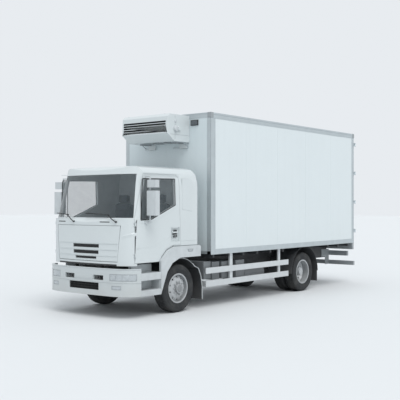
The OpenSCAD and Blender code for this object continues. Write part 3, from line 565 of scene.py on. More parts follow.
def box_rivets():
    bm = bmesh.new()
    length = BOX_REAR - BOX_FRONT
    steps = int(length / 0.16)
    for k in range(1, steps):
        y = BOX_FRONT + k * length / steps
        bead(bm, (BOX_X + STRIP, y, BOX_BASE + 0.075), 0.0085, (1, 0, 0))
        bead(bm, (BOX_X + STRIP, y, RAIL_HIGH + 0.030), 0.0075, (1, 0, 0))
    for k in range(18):
        z = BOX_BASE + 0.16 + k * (RAIL_HIGH - BOX_BASE - 0.26) / 17
        bead(bm, (BOX_X + STRIP, BOX_FRONT + 0.110, z), 0.0075, (1, 0, 0))
        bead(bm, (BOX_X + STRIP, BOX_REAR - 0.095, z), 0.0075, (1, 0, 0))
        bead(bm, (BOX_X - 0.070, BOX_FRONT - STRIP, z), 0.0075, (0, -1, 0))
    both_sides(bm)
    for k in range(12):
        bead(bm, (-1.1 + k * 0.2, BOX_FRONT - STRIP, BOX_TOP - 0.065), 0.0075, (0, -1, 0))
    return piece_from("box_rivets", bm, "chassis", STEEL)


def panel_joints():
    """Fine sealant joints where the sheets of the skins meet."""
    bm = bmesh.new()
    for k in (1, 2, 3, 4):
        y = BOX_FRONT + k * (BOX_REAR - BOX_FRONT) / 5
        block(bm, (BOX_X - 0.001, y - 0.0022, RAIL_LOW), (BOX_X + 0.0012, y + 0.0022, RAIL_HIGH))
    both_sides(bm)
    block(bm, (-0.0022, BOX_FRONT - 0.0012, BOX_BASE + 0.06), (0.0022, BOX_FRONT + 0.001, RAIL_HIGH))
    return piece_from("box_panel_joints", bm, "chassis", SIDE_SKIN)


def roof_lines():
    """Roof sheet inside the edge rails, with the bows showing through as low ridges."""
    bm = bmesh.new()
    block(bm, (-BOX_X + 0.05, BOX_FRONT + 0.05, BOX_TOP), (BOX_X - 0.05, BOX_REAR - 0.05, BOX_TOP + 0.0035))
    for k in range(9):
        y = BOX_FRONT + 0.5 + k * (BOX_REAR - BOX_FRONT - 1.0) / 8
        block(bm, (-BOX_X + 0.10, y - 0.035, BOX_TOP + 0.0035), (BOX_X - 0.10, y + 0.035, BOX_TOP + 0.007))
    return piece_from("box_roof_sheet", bm, "chassis", SIDE_SKIN, 0.002, 1)


def marker_lamps():
    housing, lens_mesh = bmesh.new(), bmesh.new()
    block(housing, (0.690, BOX_FRONT - 0.022, 3.835), (0.895, BOX_FRONT, 3.955))
    block(lens_mesh, (0.705, BOX_FRONT - 0.030, 3.850), (0.880, BOX_FRONT - 0.018, 3.940))
    both_sides(housing)
    both_sides(lens_mesh)
    piece_from("front_marker_housings", housing, "chassis", DARK, 0.006, 3)
    piece_from("front_marker_lenses", lens_mesh, "chassis", LAMP_DARK, 0.006, 3)


def rear_details():
    """Door seals, buffers, rear lamps with three chambers, and a blank plate holder."""
    for side, sign in (("left", 1), ("right", -1)):
        bm = bmesh.new()
        z0, z1 = BOX_BASE + 0.118, BOX_TOP - 0.088
        x0, x1 = 0.007, BOX_X - 0.068
        for a, b in (((x0, z0), (x1, z0 + 0.022)), ((x0, z1 - 0.022), (x1, z1)),
                     ((x0, z0), (x0 + 0.022, z1)), ((x1 - 0.022, z0), (x1, z1))):
            block(bm, (a[0], BOX_REAR - 0.004, a[1]), (b[0], BOX_REAR + 0.006, b[1]))
        on_side(bm, sign)
        piece_from(side + "_box_door_seal", bm, side + "_box_door", SEAL, 0.004, 2)
    lamp = bmesh.new()
    low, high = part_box("tail_lamps")
    y = high.y - AXLE
    block(lamp, (0.752, y - 0.030, low.z - 0.008), (high.x + 0.008, y - 0.012, high.z + 0.008))
    both_sides(lamp)
    piece_from("tail_lamp_frames", lamp, "chassis", DARK, 0.006, 2)
    for x0, x1, name, colour in ((0.77, 0.88, "reverse", LAMP_CLEAR), (1.03, 1.14, "turn", LAMP_AMBER)):
        glass = bmesh.new()
        block(glass, (x0, y - 0.004, low.z + 0.012), (x1, y + 0.004, high.z - 0.012))
        both_sides(glass)
        piece_from(name + "_lamps", glass, "chassis", colour, 0.004, 2)
    bm = bmesh.new()
    for x in (0.16, 0.62):
        block(bm, (x, BOX_REAR + 0.012, BOX_BASE - 0.145), (x + 0.08, BOX_REAR + 0.075, BOX_BASE - 0.030))
    both_sides(bm)
    piece_from("rear_buffers", bm, "chassis", SEAL, 0.012, 3)
    bm = bmesh.new()
    block(bm, (-0.26, BOX_REAR + 0.118, 0.750), (0.26, BOX_REAR + 0.1255, 0.860))
    piece_from("rear_plate_holder", bm, "chassis", TRIM_WHITE, 0.004, 2)
    bm = bmesh.new()
    for z in (0.545, 0.805):
        half = BOX_X - 0.035 if z < 0.6 else 0.99
        for k in range(12):
            x = -half + 0.06 + k * (2 * half - 0.3) / 11
            block(bm, (x, BOX_REAR + (0.110 if z < 0.6 else 0.119), z - 0.030),
                  (x + 0.13, BOX_REAR + (0.1115 if z < 0.6 else 0.1205), z + 0.030))
    piece_from("underrun_bar_tape", bm, "chassis", LAMP_RED, 0.0)


def cooling_unit():
    low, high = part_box("cooling_unit")
    front = low.y

    # the set-back walls of the louvre slots take the black grille finish: partly the grille's own black,
    # partly painted shade in the recesses
    def slot_face(face):
        c = face.calc_center_median()
        set_back = front + 0.010 < c.y < front + 0.075
        return 1 if set_back and 3.655 < c.z < 3.905 and abs(c.x) < 0.64 else 0
    softened("cooling_unit", [CAB_WHITE, BLACK_GRILLE], 0.007, 3, 28.0, slot_face)
    y0 = front - AXLE
    bm = bmesh.new()
    # fine blades set back in each louvre
    for i in range(5):
        z = 3.680 + i * 0.050
        block(bm, (-0.608, y0 + 0.046, z - 0.002), (0.588, y0 + 0.066, z + 0.001))
    piece_from("cooling_unit_blades", bm, "chassis", BLACK_GRILLE, 0.0)
    bm = bmesh.new()
    # cover joints: round the body near each end, along the top, and the fan shroud underneath
    for x in (-0.520, 0.515):
        block(bm, (x, y0 + 0.06, high.z - 0.0005), (x + 0.005, BOX_FRONT - 0.01, high.z + 0.002))
    block(bm, (-0.645, y0 + 0.30, high.z - 0.0005), (0.645, y0 + 0.305, high.z + 0.002))
    for s in (-1, 1):
        block(bm, (min(s * 0.6495, s * 0.652), y0 + 0.24, 3.52),
              (max(s * 0.6495, s * 0.652), y0 + 0.245, high.z - 0.03))
        block(bm, (min(s * 0.6495, s * 0.652), y0 + 0.10, 3.62),
              (max(s * 0.6495, s * 0.652), BOX_FRONT - 0.02, 3.625))
    piece_from("cooling_unit_joints", bm, "chassis", GREY_TRIM, 0.0)
    bm = bmesh.new()
    lathe(bm, [[0.0, 0.060], [0.046, 0.058], [0.060, 0.048], [0.066, 0.034], [0.068, 0.0]], 0.640,
          y0 + 0.155 + 0.10, 3.745, 40)
    lathe(bm, [[0.0, 0.024], [0.030, 0.022], [0.038, 0.015], [0.040, 0.0]], 0.640, y0 + 0.26, 3.905, 32)
    piece_from("cooling_unit_caps", bm, "chassis", TRIM_WHITE, 0.0)
    bm = bmesh.new()
    for x in (-0.30, 0.0, 0.30):
        lathe_up(bm, [[0.0, 0.0], [0.115, 0.0], [0.128, -0.010], [0.128, -0.016], [0.0, -0.016]],
                 (x, 0.66), 3.480, 36)
    for x in (-0.52, 0.42):
        block(bm, (x, BOX_FRONT - 0.30, 3.455), (x + 0.11, BOX_FRONT, 3.481))
    piece_from("cooling_unit_fan_rings", bm, "chassis", GREY_TRIM, 0.0)
    bm = bmesh.new()
    # mounting rails on the wall and the pipe cover that runs down from the unit
    block(bm, (0.20, BOX_FRONT - 0.030, 3.36), (0.62, BOX_FRONT, 3.395))
    block(bm, (-0.62, BOX_FRONT - 0.030, 3.36), (-0.38, BOX_FRONT, 3.395))
    for x in (0.60, -0.60):
        rod(bm, (x, BOX_FRONT - 0.015, 3.40), (x, BOX_FRONT - 0.18, 3.49), 0.010, 12)
    piece_from("cooling_unit_rails", bm, "chassis", PROFILE, 0.003, 1)


def lathe_up(bm, outline, at, z, steps=36):
    """An outline of [radius, offset] turned about an upright axis."""
    rings = []
    for k in range(steps):
        a = 2 * math.pi * k / steps
        rings.append([bm.verts.new((at[0] + r * math.cos(a), AXLE + at[1] + r * math.sin(a), z + o))
                      for r, o in outline])
    for k in range(steps):
        wrap(bm, rings[k], rings[(k + 1) % steps], False)


box_trim()
corner_caps()
box_rivets()
panel_joints()
roof_lines()
marker_lamps()
rear_details()
cooling_unit()


# ------------------------------------------------------------------ cab
CAB_PLAN = [(0, -1.475), (0.45, -1.462), (0.85, -1.415), (1.00, -1.355), (1.08, -1.280), (1.12, -1.200),
            (1.13, -1.120), (1.13, 0.59)]
BUMPER_PLAN = [(0, -1.520), (0.5, -1.515), (0.8, -1.495), (1.0, -1.440), (1.13, -1.340), (1.192, -1.220),
               (1.2, -1.160), (1.2, -0.90)]
LEAN = math.tan(rad(16))          # the windscreen leans back by this angle
LAMP_LOW, LAMP_HIGH = 0.728, 0.848
FOG_LOW, FOG_HIGH = 0.562, 0.628
GRAB_LOW, GRAB_HIGH, GRAB_DEPTH = 1.816, 1.834, (-0.004, 0.0012)     # grab slots in the cowl
WIPER_Z, WIPER_ARM, WIPER_BLADE = 1.828, 0.205, 0.62


def along(line, start, end):
    """Points of a plan line, each with its outward direction, between two distances along it
    from the middle."""
    spots, stops = [], [0.0]
    for a, b in zip(line, line[1:]):
        stops.append(stops[-1] + math.dist(a, b))
    wanted = sorted({start, end} | {s for s in stops if start < s < end})
    directions = []
    for a, b in zip(line, line[1:]):
        d = Vector((b[0] - a[0], b[1] - a[1])).normalized()
        directions.append(Vector((d.y, -d.x)))
    for s in wanted:
        i = max(k for k in range(len(directions)) if stops[k] <= s + 1e-9)
        t = (s - stops[i]) / (stops[i + 1] - stops[i])
        a, b = Vector(line[i]), Vector(line[i + 1])
        n = directions[i]
        if t < 1e-6 and i > 0:
            n = directions[i] + directions[i - 1]
        elif t < 1e-6:
            n = Vector((0, -1))
        elif t > 1 - 1e-6 and i + 1 < len(directions):
            n = directions[i] + directions[i + 1]
        n = n.normalized()
        n /= max(0.7, n.dot(directions[i]))
        spots.append((a.lerp(b, t), n))
    return spots


def distance_at(line, x=None, y=None):
    """How far along a plan line, from the middle, a given x or y lies."""
    run = 0.0
    for a, b in zip(line, line[1:]):
        if x is not None and a[0] <= x <= b[0] and b[0] > a[0]:
            return run + math.dist(a, b) * (x - a[0]) / (b[0] - a[0])
        if y is not None and a[1] <= y <= b[1] and b[1] > a[1]:
            return run + math.dist(a, b) * (y - a[1]) / (b[1] - a[1])
        run += math.dist(a, b)
    return run


def strip(bm, line, start, end, low, high, inner, outer, across=False):
    """A bar that follows a plan line from one distance to another, or across the middle to both
    sides."""
    spots = along(line, start, end)
    if across:
        spots = [(Vector((-p.x, p.y)), Vector((-n.x, n.y))) for p, n in reversed(spots[1:])] + spots
    rings = []
    for p, n in spots:
        section = ((inner, low), (outer, low), (outer, high), (inner, high))
        rings.append([bm.verts.new((p.x + n.x * o, AXLE + p.y + n.y * o, z)) for o, z in section])
    for here, there in zip(rings, rings[1:]):
        wrap(bm, here, there)
    bm.faces.new(rings[0][::-1])
    bm.faces.new(rings[-1])


def glass_y(z):
    """Fore-and-aft shift of the leaning windscreen at a height."""
    return max(0.0, z - 1.880) * LEAN


def front_details():
    # raised bands across the hatch, one above each slot
    bm = bmesh.new()
    for z, x in ((1.420, 0.835), (1.300, 0.825), (1.185, 0.815)):
        strip(bm, CAB_PLAN, 0, distance_at(CAB_PLAN, x), z - 0.008, z, -0.004, 0.009, True)
    strip(bm, CAB_PLAN, 0, distance_at(CAB_PLAN, 0.805), 1.084, 1.090, -0.004, 0.006, True)
    piece_from("hatch_bands", bm, "hatch", CAB_WHITE, 0.003, 2)
    # lips round the hatch slots, and the dark mesh behind them
    lip, mesh = bmesh.new(), bmesh.new()
    for z0, z1, half in ((1.115, 1.165, 0.29), (1.210, 1.280, 0.35), (1.330, 1.400, 0.36)):
        end = distance_at(CAB_PLAN, half)
        strip(mesh, CAB_PLAN, 0, end - 0.002, z0 + 0.001, z1 - 0.001, -0.027, -0.022, True)
        for z in (z0, z1):
            strip(lip, CAB_PLAN, 0, end, z - 0.003, z + 0.003, -0.006, 0.0035, True)
        for k in range(3):
            z = z0 + (k + 0.75) * (z1 - z0) / 3.5
            strip(mesh, CAB_PLAN, 0, end - 0.004, z, z + 0.004, -0.022, -0.012, True)
    piece_from("hatch_slot_lips", lip, "hatch", CAB_WHITE, 0.0015, 1)
    piece_from("hatch_slot_mesh", mesh, "hatch", BLACK_GRILLE)
    # dark rubber between hatch and bumper, and grab slots in the cowl
    bm = bmesh.new()
    strip(bm, CAB_PLAN, 0, distance_at(CAB_PLAN, 0.80), 1.0005, 1.030, -0.006, 0.0025, True)
    strip(bm, CAB_PLAN, distance_at(CAB_PLAN, 0.39), distance_at(CAB_PLAN, 0.63), GRAB_LOW,
          GRAB_HIGH, *GRAB_DEPTH)
    piece_from("cab_front_rubber", bm, "cab", SEAL, 0.0)
    bm = bmesh.new()
    strip(bm, CAB_PLAN, distance_at(CAB_PLAN, 0.61), distance_at(CAB_PLAN, 0.84), GRAB_LOW,
          GRAB_HIGH, *GRAB_DEPTH)
    on_side(bm, -1)
    piece_from("cowl_grab_slot", bm, "cab", SEAL, 0.0)
    # slanting crease on each corner panel
    bm = bmesh.new()
    a, b = distance_at(CAB_PLAN, 0.90), distance_at(CAB_PLAN, 1.118)
    steps = 8
    spots = [along(CAB_PLAN, a + (b - a) * k / steps, b)[0]
             for k in range(steps)] + [along(CAB_PLAN, a, b)[-1]]
    rings = []
    for k, (p, n) in enumerate(spots):
        z = 1.545 + 0.075 * (k / steps) ** 0.6
        out = 0.010 * math.sin(math.pi * (0.08 + 0.84 * k / steps))
        section = ((-0.002, -0.075), (out, 0.0), (-0.002, 0.016))
        rings.append([bm.verts.new((p.x + n.x * o, AXLE + p.y + n.y * o, z + h)) for o, h in section])
    for here, there in zip(rings, rings[1:]):
        wrap(bm, here, there)
    bm.faces.new(rings[0][::-1])
    bm.faces.new(rings[-1])
    both_sides(bm)
    piece_from("corner_creases", bm, "cab", CAB_WHITE)


def bumper_details():
    bm = bmesh.new()
    # crease along the middle, and the upper lip
    end = distance_at(BUMPER_PLAN, y=-1.170)
    strip(bm, BUMPER_PLAN, 0, end, 0.686, 0.700, -0.004, 0.007, True)
    strip(bm, BUMPER_PLAN, 0, end, 0.932, 0.953, -0.004, 0.006, True)
    strip(bm, BUMPER_PLAN, 0, end, 0.428, 0.446, -0.004, 0.005, True)
    piece_from("bumper_creases", bm, "chassis", BUMPER_WHITE, 0.004, 2)
    mesh = bmesh.new()
    strip(mesh, BUMPER_PLAN, 0, 0.414, 0.526, 0.672, -0.060, -0.056, True)
    for k in range(21):
        x = -0.40 + k * 0.04
        block(mesh, (x - 0.005, -1.500, 0.528), (x + 0.005, -1.462, 0.670))
    for z in (0.575, 0.622):
        strip(mesh, BUMPER_PLAN, 0, 0.412, z - 0.004, z + 0.004, -0.040, -0.022, True)
    # black strip behind the bumper's top edge, closing the gap under the cab: partly the dark parts behind
    # the bumper, partly painted shade in that gap
    block(mesh, (-0.62, -1.476, 0.86), (0.62, -1.470, 0.935))
    piece_from("bumper_grille_and_shade_strip", mesh, "chassis", BLACK_GRILLE)
    # frames round lamps and slots
    frame, chrome = bmesh.new(), bmesh.new()
    lamp0, lamp1 = distance_at(BUMPER_PLAN, 0.70), distance_at(BUMPER_PLAN, y=-1.262)
    fog0, fog1 = distance_at(BUMPER_PLAN, 0.75), distance_at(BUMPER_PLAN, 0.945)
    for s0, s1, z0, z1 in ((lamp0, lamp1, LAMP_LOW, LAMP_HIGH), (fog0, fog1, FOG_LOW, FOG_HIGH)):
        strip(frame, BUMPER_PLAN, s0 - 0.003, s1 + 0.003, z0 - 0.004, z0 + 0.002, -0.008, 0.0028)
        strip(frame, BUMPER_PLAN, s0 - 0.003, s1 + 0.003, z1 - 0.002, z1 + 0.004, -0.008, 0.0028)
        strip(frame, BUMPER_PLAN, s0 - 0.004, s0 + 0.002, z0, z1, -0.008, 0.0028)
        strip(frame, BUMPER_PLAN, s1 - 0.002, s1 + 0.004, z0, z1, -0.008, 0.0028)
    split = lamp0 + (lamp1 - lamp0) * 0.50
    strip(frame, BUMPER_PLAN, split - 0.002, split + 0.002, LAMP_LOW + 0.002,
          LAMP_HIGH - 0.002, -0.008, 0.0022)
    for s in (lamp0 + 0.095, split + 0.10):
        p, n = along(BUMPER_PLAN, s, lamp1)[0]
        turned = Vector((n.x, n.y, 0)).normalized().to_track_quat("Z", "Y").to_matrix().to_4x4()
        place = Matrix.Translation((p.x + n.x * 0.001, AXLE + p.y + n.y * 0.001, 0.788)) @ turned
        bmesh.ops.create_uvsphere(chrome, u_segments=28, v_segments=10, radius=0.048,
                                  matrix=place @ Matrix.Diagonal((1.0, 1.0, 0.12, 1.0)))
    p, n = along(BUMPER_PLAN, (fog0 + fog1) / 2, fog1)[0]
    turned = Vector((n.x, n.y, 0)).normalized().to_track_quat("Z", "Y").to_matrix().to_4x4()
    bmesh.ops.create_uvsphere(chrome, u_segments=24, v_segments=8, radius=0.026,
                              matrix=Matrix.Translation((p.x, AXLE + p.y,
                                      0.595)) @ turned @ Matrix.Diagonal((1.0, 1.0, 0.15, 1.0)))
    both_sides(frame)
    both_sides(chrome)
    piece_from("lamp_frames", frame, "chassis", GREY_TRIM)
    piece_from("lamp_bowls", chrome, "chassis", LAMP_CLEAR, angle=40)
    plate = bmesh.new()
    block(plate, (-0.26, -1.528, 0.735), (0.26 - 0.0, -1.518, 0.752))
    block(plate, (-0.255, -1.526, 0.752), (0.255, -1.518, 0.815))
    piece_from("front_plate_holder", plate, "chassis", BUMPER_WHITE, 0.004, 2)


def band(bm, points, x, width, proud):
    """A thin raised line on a side face of the cab, through (y, z) points."""
    for (y0, z0), (y1, z1) in zip(points, points[1:]):
        d = Vector((y1 - y0, z1 - z0)).normalized()
        n = Vector((-d.y, d.x)) * (width / 2)
        quad = [(y0 + n.x, z0 + n.y), (y0 - n.x, z0 - n.y), (y1 - n.x, z1 - n.y), (y1 + n.x, z1 + n.y)]
        prism(bm, quad, 0, x - 0.002, x + proud)


def side_details():
    window = [(-1.063, 2.649), (-1.109, 1.861), (-0.804, 1.877), (-0.109, 2.147),
              (-0.127, 2.664), (-1.063, 2.649)]
    for side, sign in (("left", 1), ("right", -1)):
        bm = bmesh.new()
        band(bm, window, CAB_X, 0.018, 0.0022)
        band(bm, [(-0.93, 2.652), (-0.935, 1.872)], CAB_X, 0.016, -0.004)
        on_side(bm, sign)
        piece_from(side + "_window_seal", bm, side + "_cab_door", SEAL)
        bm = bmesh.new()
        band(bm, [(-1.105, 1.800), (-0.800, 1.812), (-0.10, 2.085)], CAB_X, 0.010, 0.004)
        band(bm, [(-1.225, 1.330), (-0.72, 1.345), (-0.30, 1.52), (0.02, 1.585)], CAB_X, 0.007, 0.003)
        on_side(bm, sign)
        piece_from(side + "_door_creases", bm, side + "_cab_door", CAB_WHITE, 0.0025, 2)
        # handle: framed bowl, pull bar and lock barrel
        frame, bowl, bar = bmesh.new(), bmesh.new(), bmesh.new()
        y0, y1, z0, z1 = -0.215, -0.015, 1.470, 1.690
        band(frame, [(y0, z0), (y1, z0), (y1, z1), (y0, z1), (y0, z0)], CAB_X, 0.010, 0.003)
        block(bowl, (CAB_X - 0.004, y0 + 0.045, z0 + 0.035), (CAB_X + 0.0015, y1 - 0.045, z1 - 0.035))
        block(bar, (CAB_X + 0.001, y0 + 0.020, 1.592), (CAB_X + 0.022, y1 - 0.020, 1.620))
        for v in bar.verts:
            if v.co.x > CAB_X + 0.01:
                v.co.y += 0.018 if v.co.y - AXLE < -0.1 else -0.018
        lathe(bar, [[0.0, 0.0035], [0.010, 0.0030], [0.0115, 0.0]], CAB_X, -0.115, 1.530, 20)
        for bm, name, look in ((frame, "_handle_frame", CAB_WHITE), (bowl, "_handle_bowl", DARK),
                               (bar, "_handle_bar", CAB_WHITE)):
            on_side(bm, sign)
            finished(side + name, mesh_of(side + name, bm), side + "_cab_door", look, 0.003, 2)
        # rear corner of the cab: blanked quarter panel, lower crease
        bm = bmesh.new()
        prism(bm, [(0.105, 2.06), (0.415, 2.02), (0.425, 2.60), (0.395, 2.665), (0.095, 2.685)], 0,
              CAB_X - 0.002, CAB_X + 0.0045)
        band(bm, [(0.075, 1.432), (0.585, 1.432)], CAB_X, 0.009, 0.0045)
        on_side(bm, sign)
        piece_from(side + "_quarter_panel", bm, "cab", CAB_WHITE, 0.003, 2)
        # rain gutter above the door
        bm = bmesh.new()
        band(bm, [(-1.10, 2.764), (-0.62, 2.768), (0.02, 2.764)], CAB_X - 0.012, 0.008, 0.016)
        on_side(bm, sign)
        piece_from(side + "_rain_gutter", bm, "cab", CAB_WHITE, 0.002, 2)
        # side lamp on the flare
        bm = bmesh.new()
        prism(bm, [(0.205, 1.262), (0.395, 1.262), (0.365, 1.205), (0.235, 1.205)], 0, 1.183, 1.1885)
        on_side(bm, sign)
        piece_from(side + "_flare_lamp_seat", bm, "chassis", GREY_TRIM, 0.002, 1)
        bm = bmesh.new()
        prism(bm, [(0.235, 1.250), (0.365, 1.250), (0.345, 1.217), (0.255, 1.217)], 0, 1.186, 1.1915)
        on_side(bm, sign)
        piece_from(side + "_flare_lamp", bm, "chassis", LAMP_CLEAR, 0.002, 1)


def arch_trims():
    """Pale edge of each front mudguard, ribbed step treads."""
    bm = bmesh.new()
    line = [(0.6 * math.cos(rad(a)), HUB + 0.6 * math.sin(rad(a)))
            for a in range(52, 43, -4)] + [(0.560, 0.850), (0.640, 0.690), (0.685, 0.450), (0.692, 0.197)]
    back = [(y + 0.014, z + 0.004) for y, z in line]
    for (a, b), (c, d) in zip(zip(line, line[1:]), zip(back, back[1:])):
        prism(bm, [a, b, d, c], 0, 1.160, 1.180)
    both_sides(bm)
    piece_from("mudguard_edges", bm, "chassis", TRIM_WHITE)
    bm = bmesh.new()
    for z in (0.533, 0.855):
        for k in range(5):
            x = 0.965 + k * 0.042
            block(bm, (x, -1.12, z - 0.001), (x + 0.016, -0.64, z + 0.004))
    both_sides(bm)
    piece_from("step_treads", bm, "chassis", GREY_TRIM, 0.002, 1)


def mirrors_and_wipers():
    for side, sign in (("left", 1), ("right", -1)):
        bm = bmesh.new()
        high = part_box("left_mirrors")[1]
        x1, back = high.x, high.y - AXLE
        block(bm, (x1 - 0.200, back - 0.0115, 1.975), (x1 - 0.024, back - 0.004, 2.395))
        block(bm, (x1 - 0.195, back - 0.002, 2.498), (x1 - 0.030, back + 0.0015, 2.610))
        on_side(bm, sign)
        piece_from(side + "_mirror_glass", bm, side + "_cab_door", MIRROR, 0.004, 2)
    # wipers: arm and blade that follow the bend of the glass
    bm, hub = bmesh.new(), bmesh.new()
    for pivot in (-0.330, 0.790):
        def skin_at(x, z, off):
            side = 1 if x >= 0 else -1
            p, n = along(CAB_PLAN, distance_at(CAB_PLAN, abs(x)), distance_at(CAB_PLAN, y=-1.12))[0]
            return Vector((side * (p.x + n.x * off), AXLE + p.y + n.y * off + glass_y(z), z))
        lathe_out(hub, skin_at(pivot, WIPER_Z, 0.0), skin_at(pivot, WIPER_Z, 0.030), 0.019)
        elbow = skin_at(pivot - WIPER_ARM, 1.955, 0.022)
        start = skin_at(pivot, WIPER_Z, 0.026)
        tube(bm, [start, start.lerp(elbow, 0.35) + Vector((0, -0.010, 0)), elbow], 0.0095)
        spread = [k / 12 for k in range(13) if abs(pivot - WIPER_ARM - k / 12 * WIPER_BLADE) < 1.02]
        blade = [skin_at(pivot - WIPER_ARM - t * WIPER_BLADE + 0.02,
                         1.957 + 0.030 * math.sin(t * math.pi / 2), 0.010) for t in spread]
        tube(bm, blade, 0.0085)
        spine = [p + Vector((0, -0.014, 0.003)) for p in blade[1:-1]]
        tube(bm, spine, 0.005)
    piece = piece_from("wiper_arms", bm, "cab", DARK)
    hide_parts("wipers")
    piece_from("wiper_bosses", hub, "cab", DARK)


def lathe_out(bm, a, b, radius):
    span = b - a
    place = Matrix.Translation((a + b) / 2) @ span.to_track_quat("Z", "Y").to_matrix().to_4x4()
    bmesh.ops.create_cone(bm, cap_ends=True, segments=24, radius1=radius, radius2=radius * 0.82,
                          depth=span.length, matrix=place)


def tube(bm, points, radius, sides=8):
    """A bent bar of round section through world points."""
    rings = []
    for i, p in enumerate(points):
        d = (points[min(i + 1, len(points) - 1)] - points[max(i - 1, 0)]).normalized()
        side = d.cross(Vector((0, 0, 1)))
        side = side.normalized() if side.length > 0.05 else Vector((1, 0, 0))
        up = side.cross(d).normalized()
        turns = [2 * math.pi * k / sides for k in range(sides)]
        rings.append([bm.verts.new(p + (side * math.cos(a) + up * math.sin(a)) * radius) for a in turns])
    for here, there in zip(rings, rings[1:]):
        wrap(bm, here, there)
    bm.faces.new(rings[0][::-1])
    bm.faces.new(rings[-1])


front_details()
bumper_details()
side_details()
arch_trims()
mirrors_and_wipers()


# ------------------------------------------------------------------ wheels
TYRE_W = 0.275
LUGS = 56            # lugs round each shoulder
TREAD_CUT = 0.012    # depth of the grooves between the ribs
NUTS = 10
RIM_EDGE = [[0.270, 0.119], [0.276, 0.1235], [0.290, 0.1245], [0.2968, 0.1215],
            [0.2968, 0.117], [0.284, 0.1145]]


def tyre_mesh(bm, x, y, flip):
    """A tyre turned about its axle: beads, ringed sidewalls, and a tread of ribs with lugs cut
    in its shoulders."""
    side = [[0.2845, 0.114], [0.2980, 0.1145], [0.3005, 0.1215], [0.306, 0.1245], [0.312, 0.1245],
            [0.316, 0.1225], [0.330, 0.1265],
            [0.352, 0.1315], [0.372, 0.1350], [0.376, 0.1366], [0.384, 0.1368], [0.388, 0.1352],
            [0.408, 0.1350], [0.426, 0.1330],
            [0.430, 0.1342], [0.436, 0.1338], [0.440, 0.1318], [0.452, 0.1285]]
    steps = LUGS * 4
    # ribs across the tread as (offset, groove depth)
    ribs = [(0.098, 0), (0.072, 0), (0.069, 1), (0.060, 1), (0.057, 0), (0.026, 0), (0.023, 1),
            (0.015, 1), (0.012, 0)]
    ribs += [(-a, b) for a, b in reversed(ribs)]
    rings = []
    for k in range(steps):
        a = 2 * math.pi * k / steps
        lug = k % 4 < 3
        shoulder = (0.466, 0.1235) if lug else (0.458, 0.1205)
        corner = TYRE_R - 0.009 if lug else TYRE_R - 0.017
        ring = [[r, o] for r, o in side]
        ring += [[shoulder[0], shoulder[1]], [corner, 0.113]]
        for o, cut in ribs:
            slash = -0.010 if (not lug and abs(o) > 0.07) else 0.0
            ring.append([TYRE_R - 0.0005 - (TREAD_CUT if cut else 0.0) + slash - 0.004 * (o / 0.1) ** 2, o])
        ring += [[corner, -0.113], [shoulder[0], -shoulder[1]]]
        ring += [[r, -o] for r, o in reversed(side)]
        rings.append([bm.verts.new((x + flip * o, AXLE + y + r * math.sin(a), HUB + r * math.cos(a)))
                      for r, o in ring])
    for k in range(steps):
        wrap(bm, rings[k], rings[(k + 1) % steps])


def front_disc_parts(sign, rims, nuts, cap):
    """Rim edge beads, wheel nuts on their ring, and the round hub cover of a front wheel."""
    x = sign * middle_x
    lathe(rims, RIM_EDGE, x, 0, None, 96, sign)
    lathe(cap, [[0.0, 0.1735], [0.040, 0.1725], [0.066, 0.1675], [0.080, 0.1575], [0.0855, 0.1440],
                [0.0885, 0.118], [0.097, 0.1145], [0.1135, 0.1135],
                [0.1135, 0.108]], x, 0, None, 64, sign)
    for k in range(NUTS):
        a = 2 * math.pi * (k + 0.5) / NUTS
        wheel_nut(nuts, x + sign * 0.1125, 0, a, 0.1365, sign)


def wheel_nut(bm, x, y, a, ring, sign):
    place = Matrix.Translation((x + sign * 0.010, AXLE + y + ring * math.sin(a),
                                HUB + ring * math.cos(a))) @ Matrix.Rotation(rad(90) * sign, 4, "Y")
    bmesh.ops.create_cone(bm, cap_ends=True, segments=16, radius1=0.0165, radius2=0.0155,
                          depth=0.005, matrix=place)
    bmesh.ops.create_cone(bm, cap_ends=True, segments=6, radius1=0.0135, radius2=0.0125, depth=0.014,
                          matrix=Matrix.Translation((sign * 0.008, 0, 0)) @ place)
    bmesh.ops.create_cone(bm, cap_ends=True, segments=12, radius1=0.0075, radius2=0.006, depth=0.006,
                          matrix=Matrix.Translation((sign * 0.017, 0, 0)) @ place)


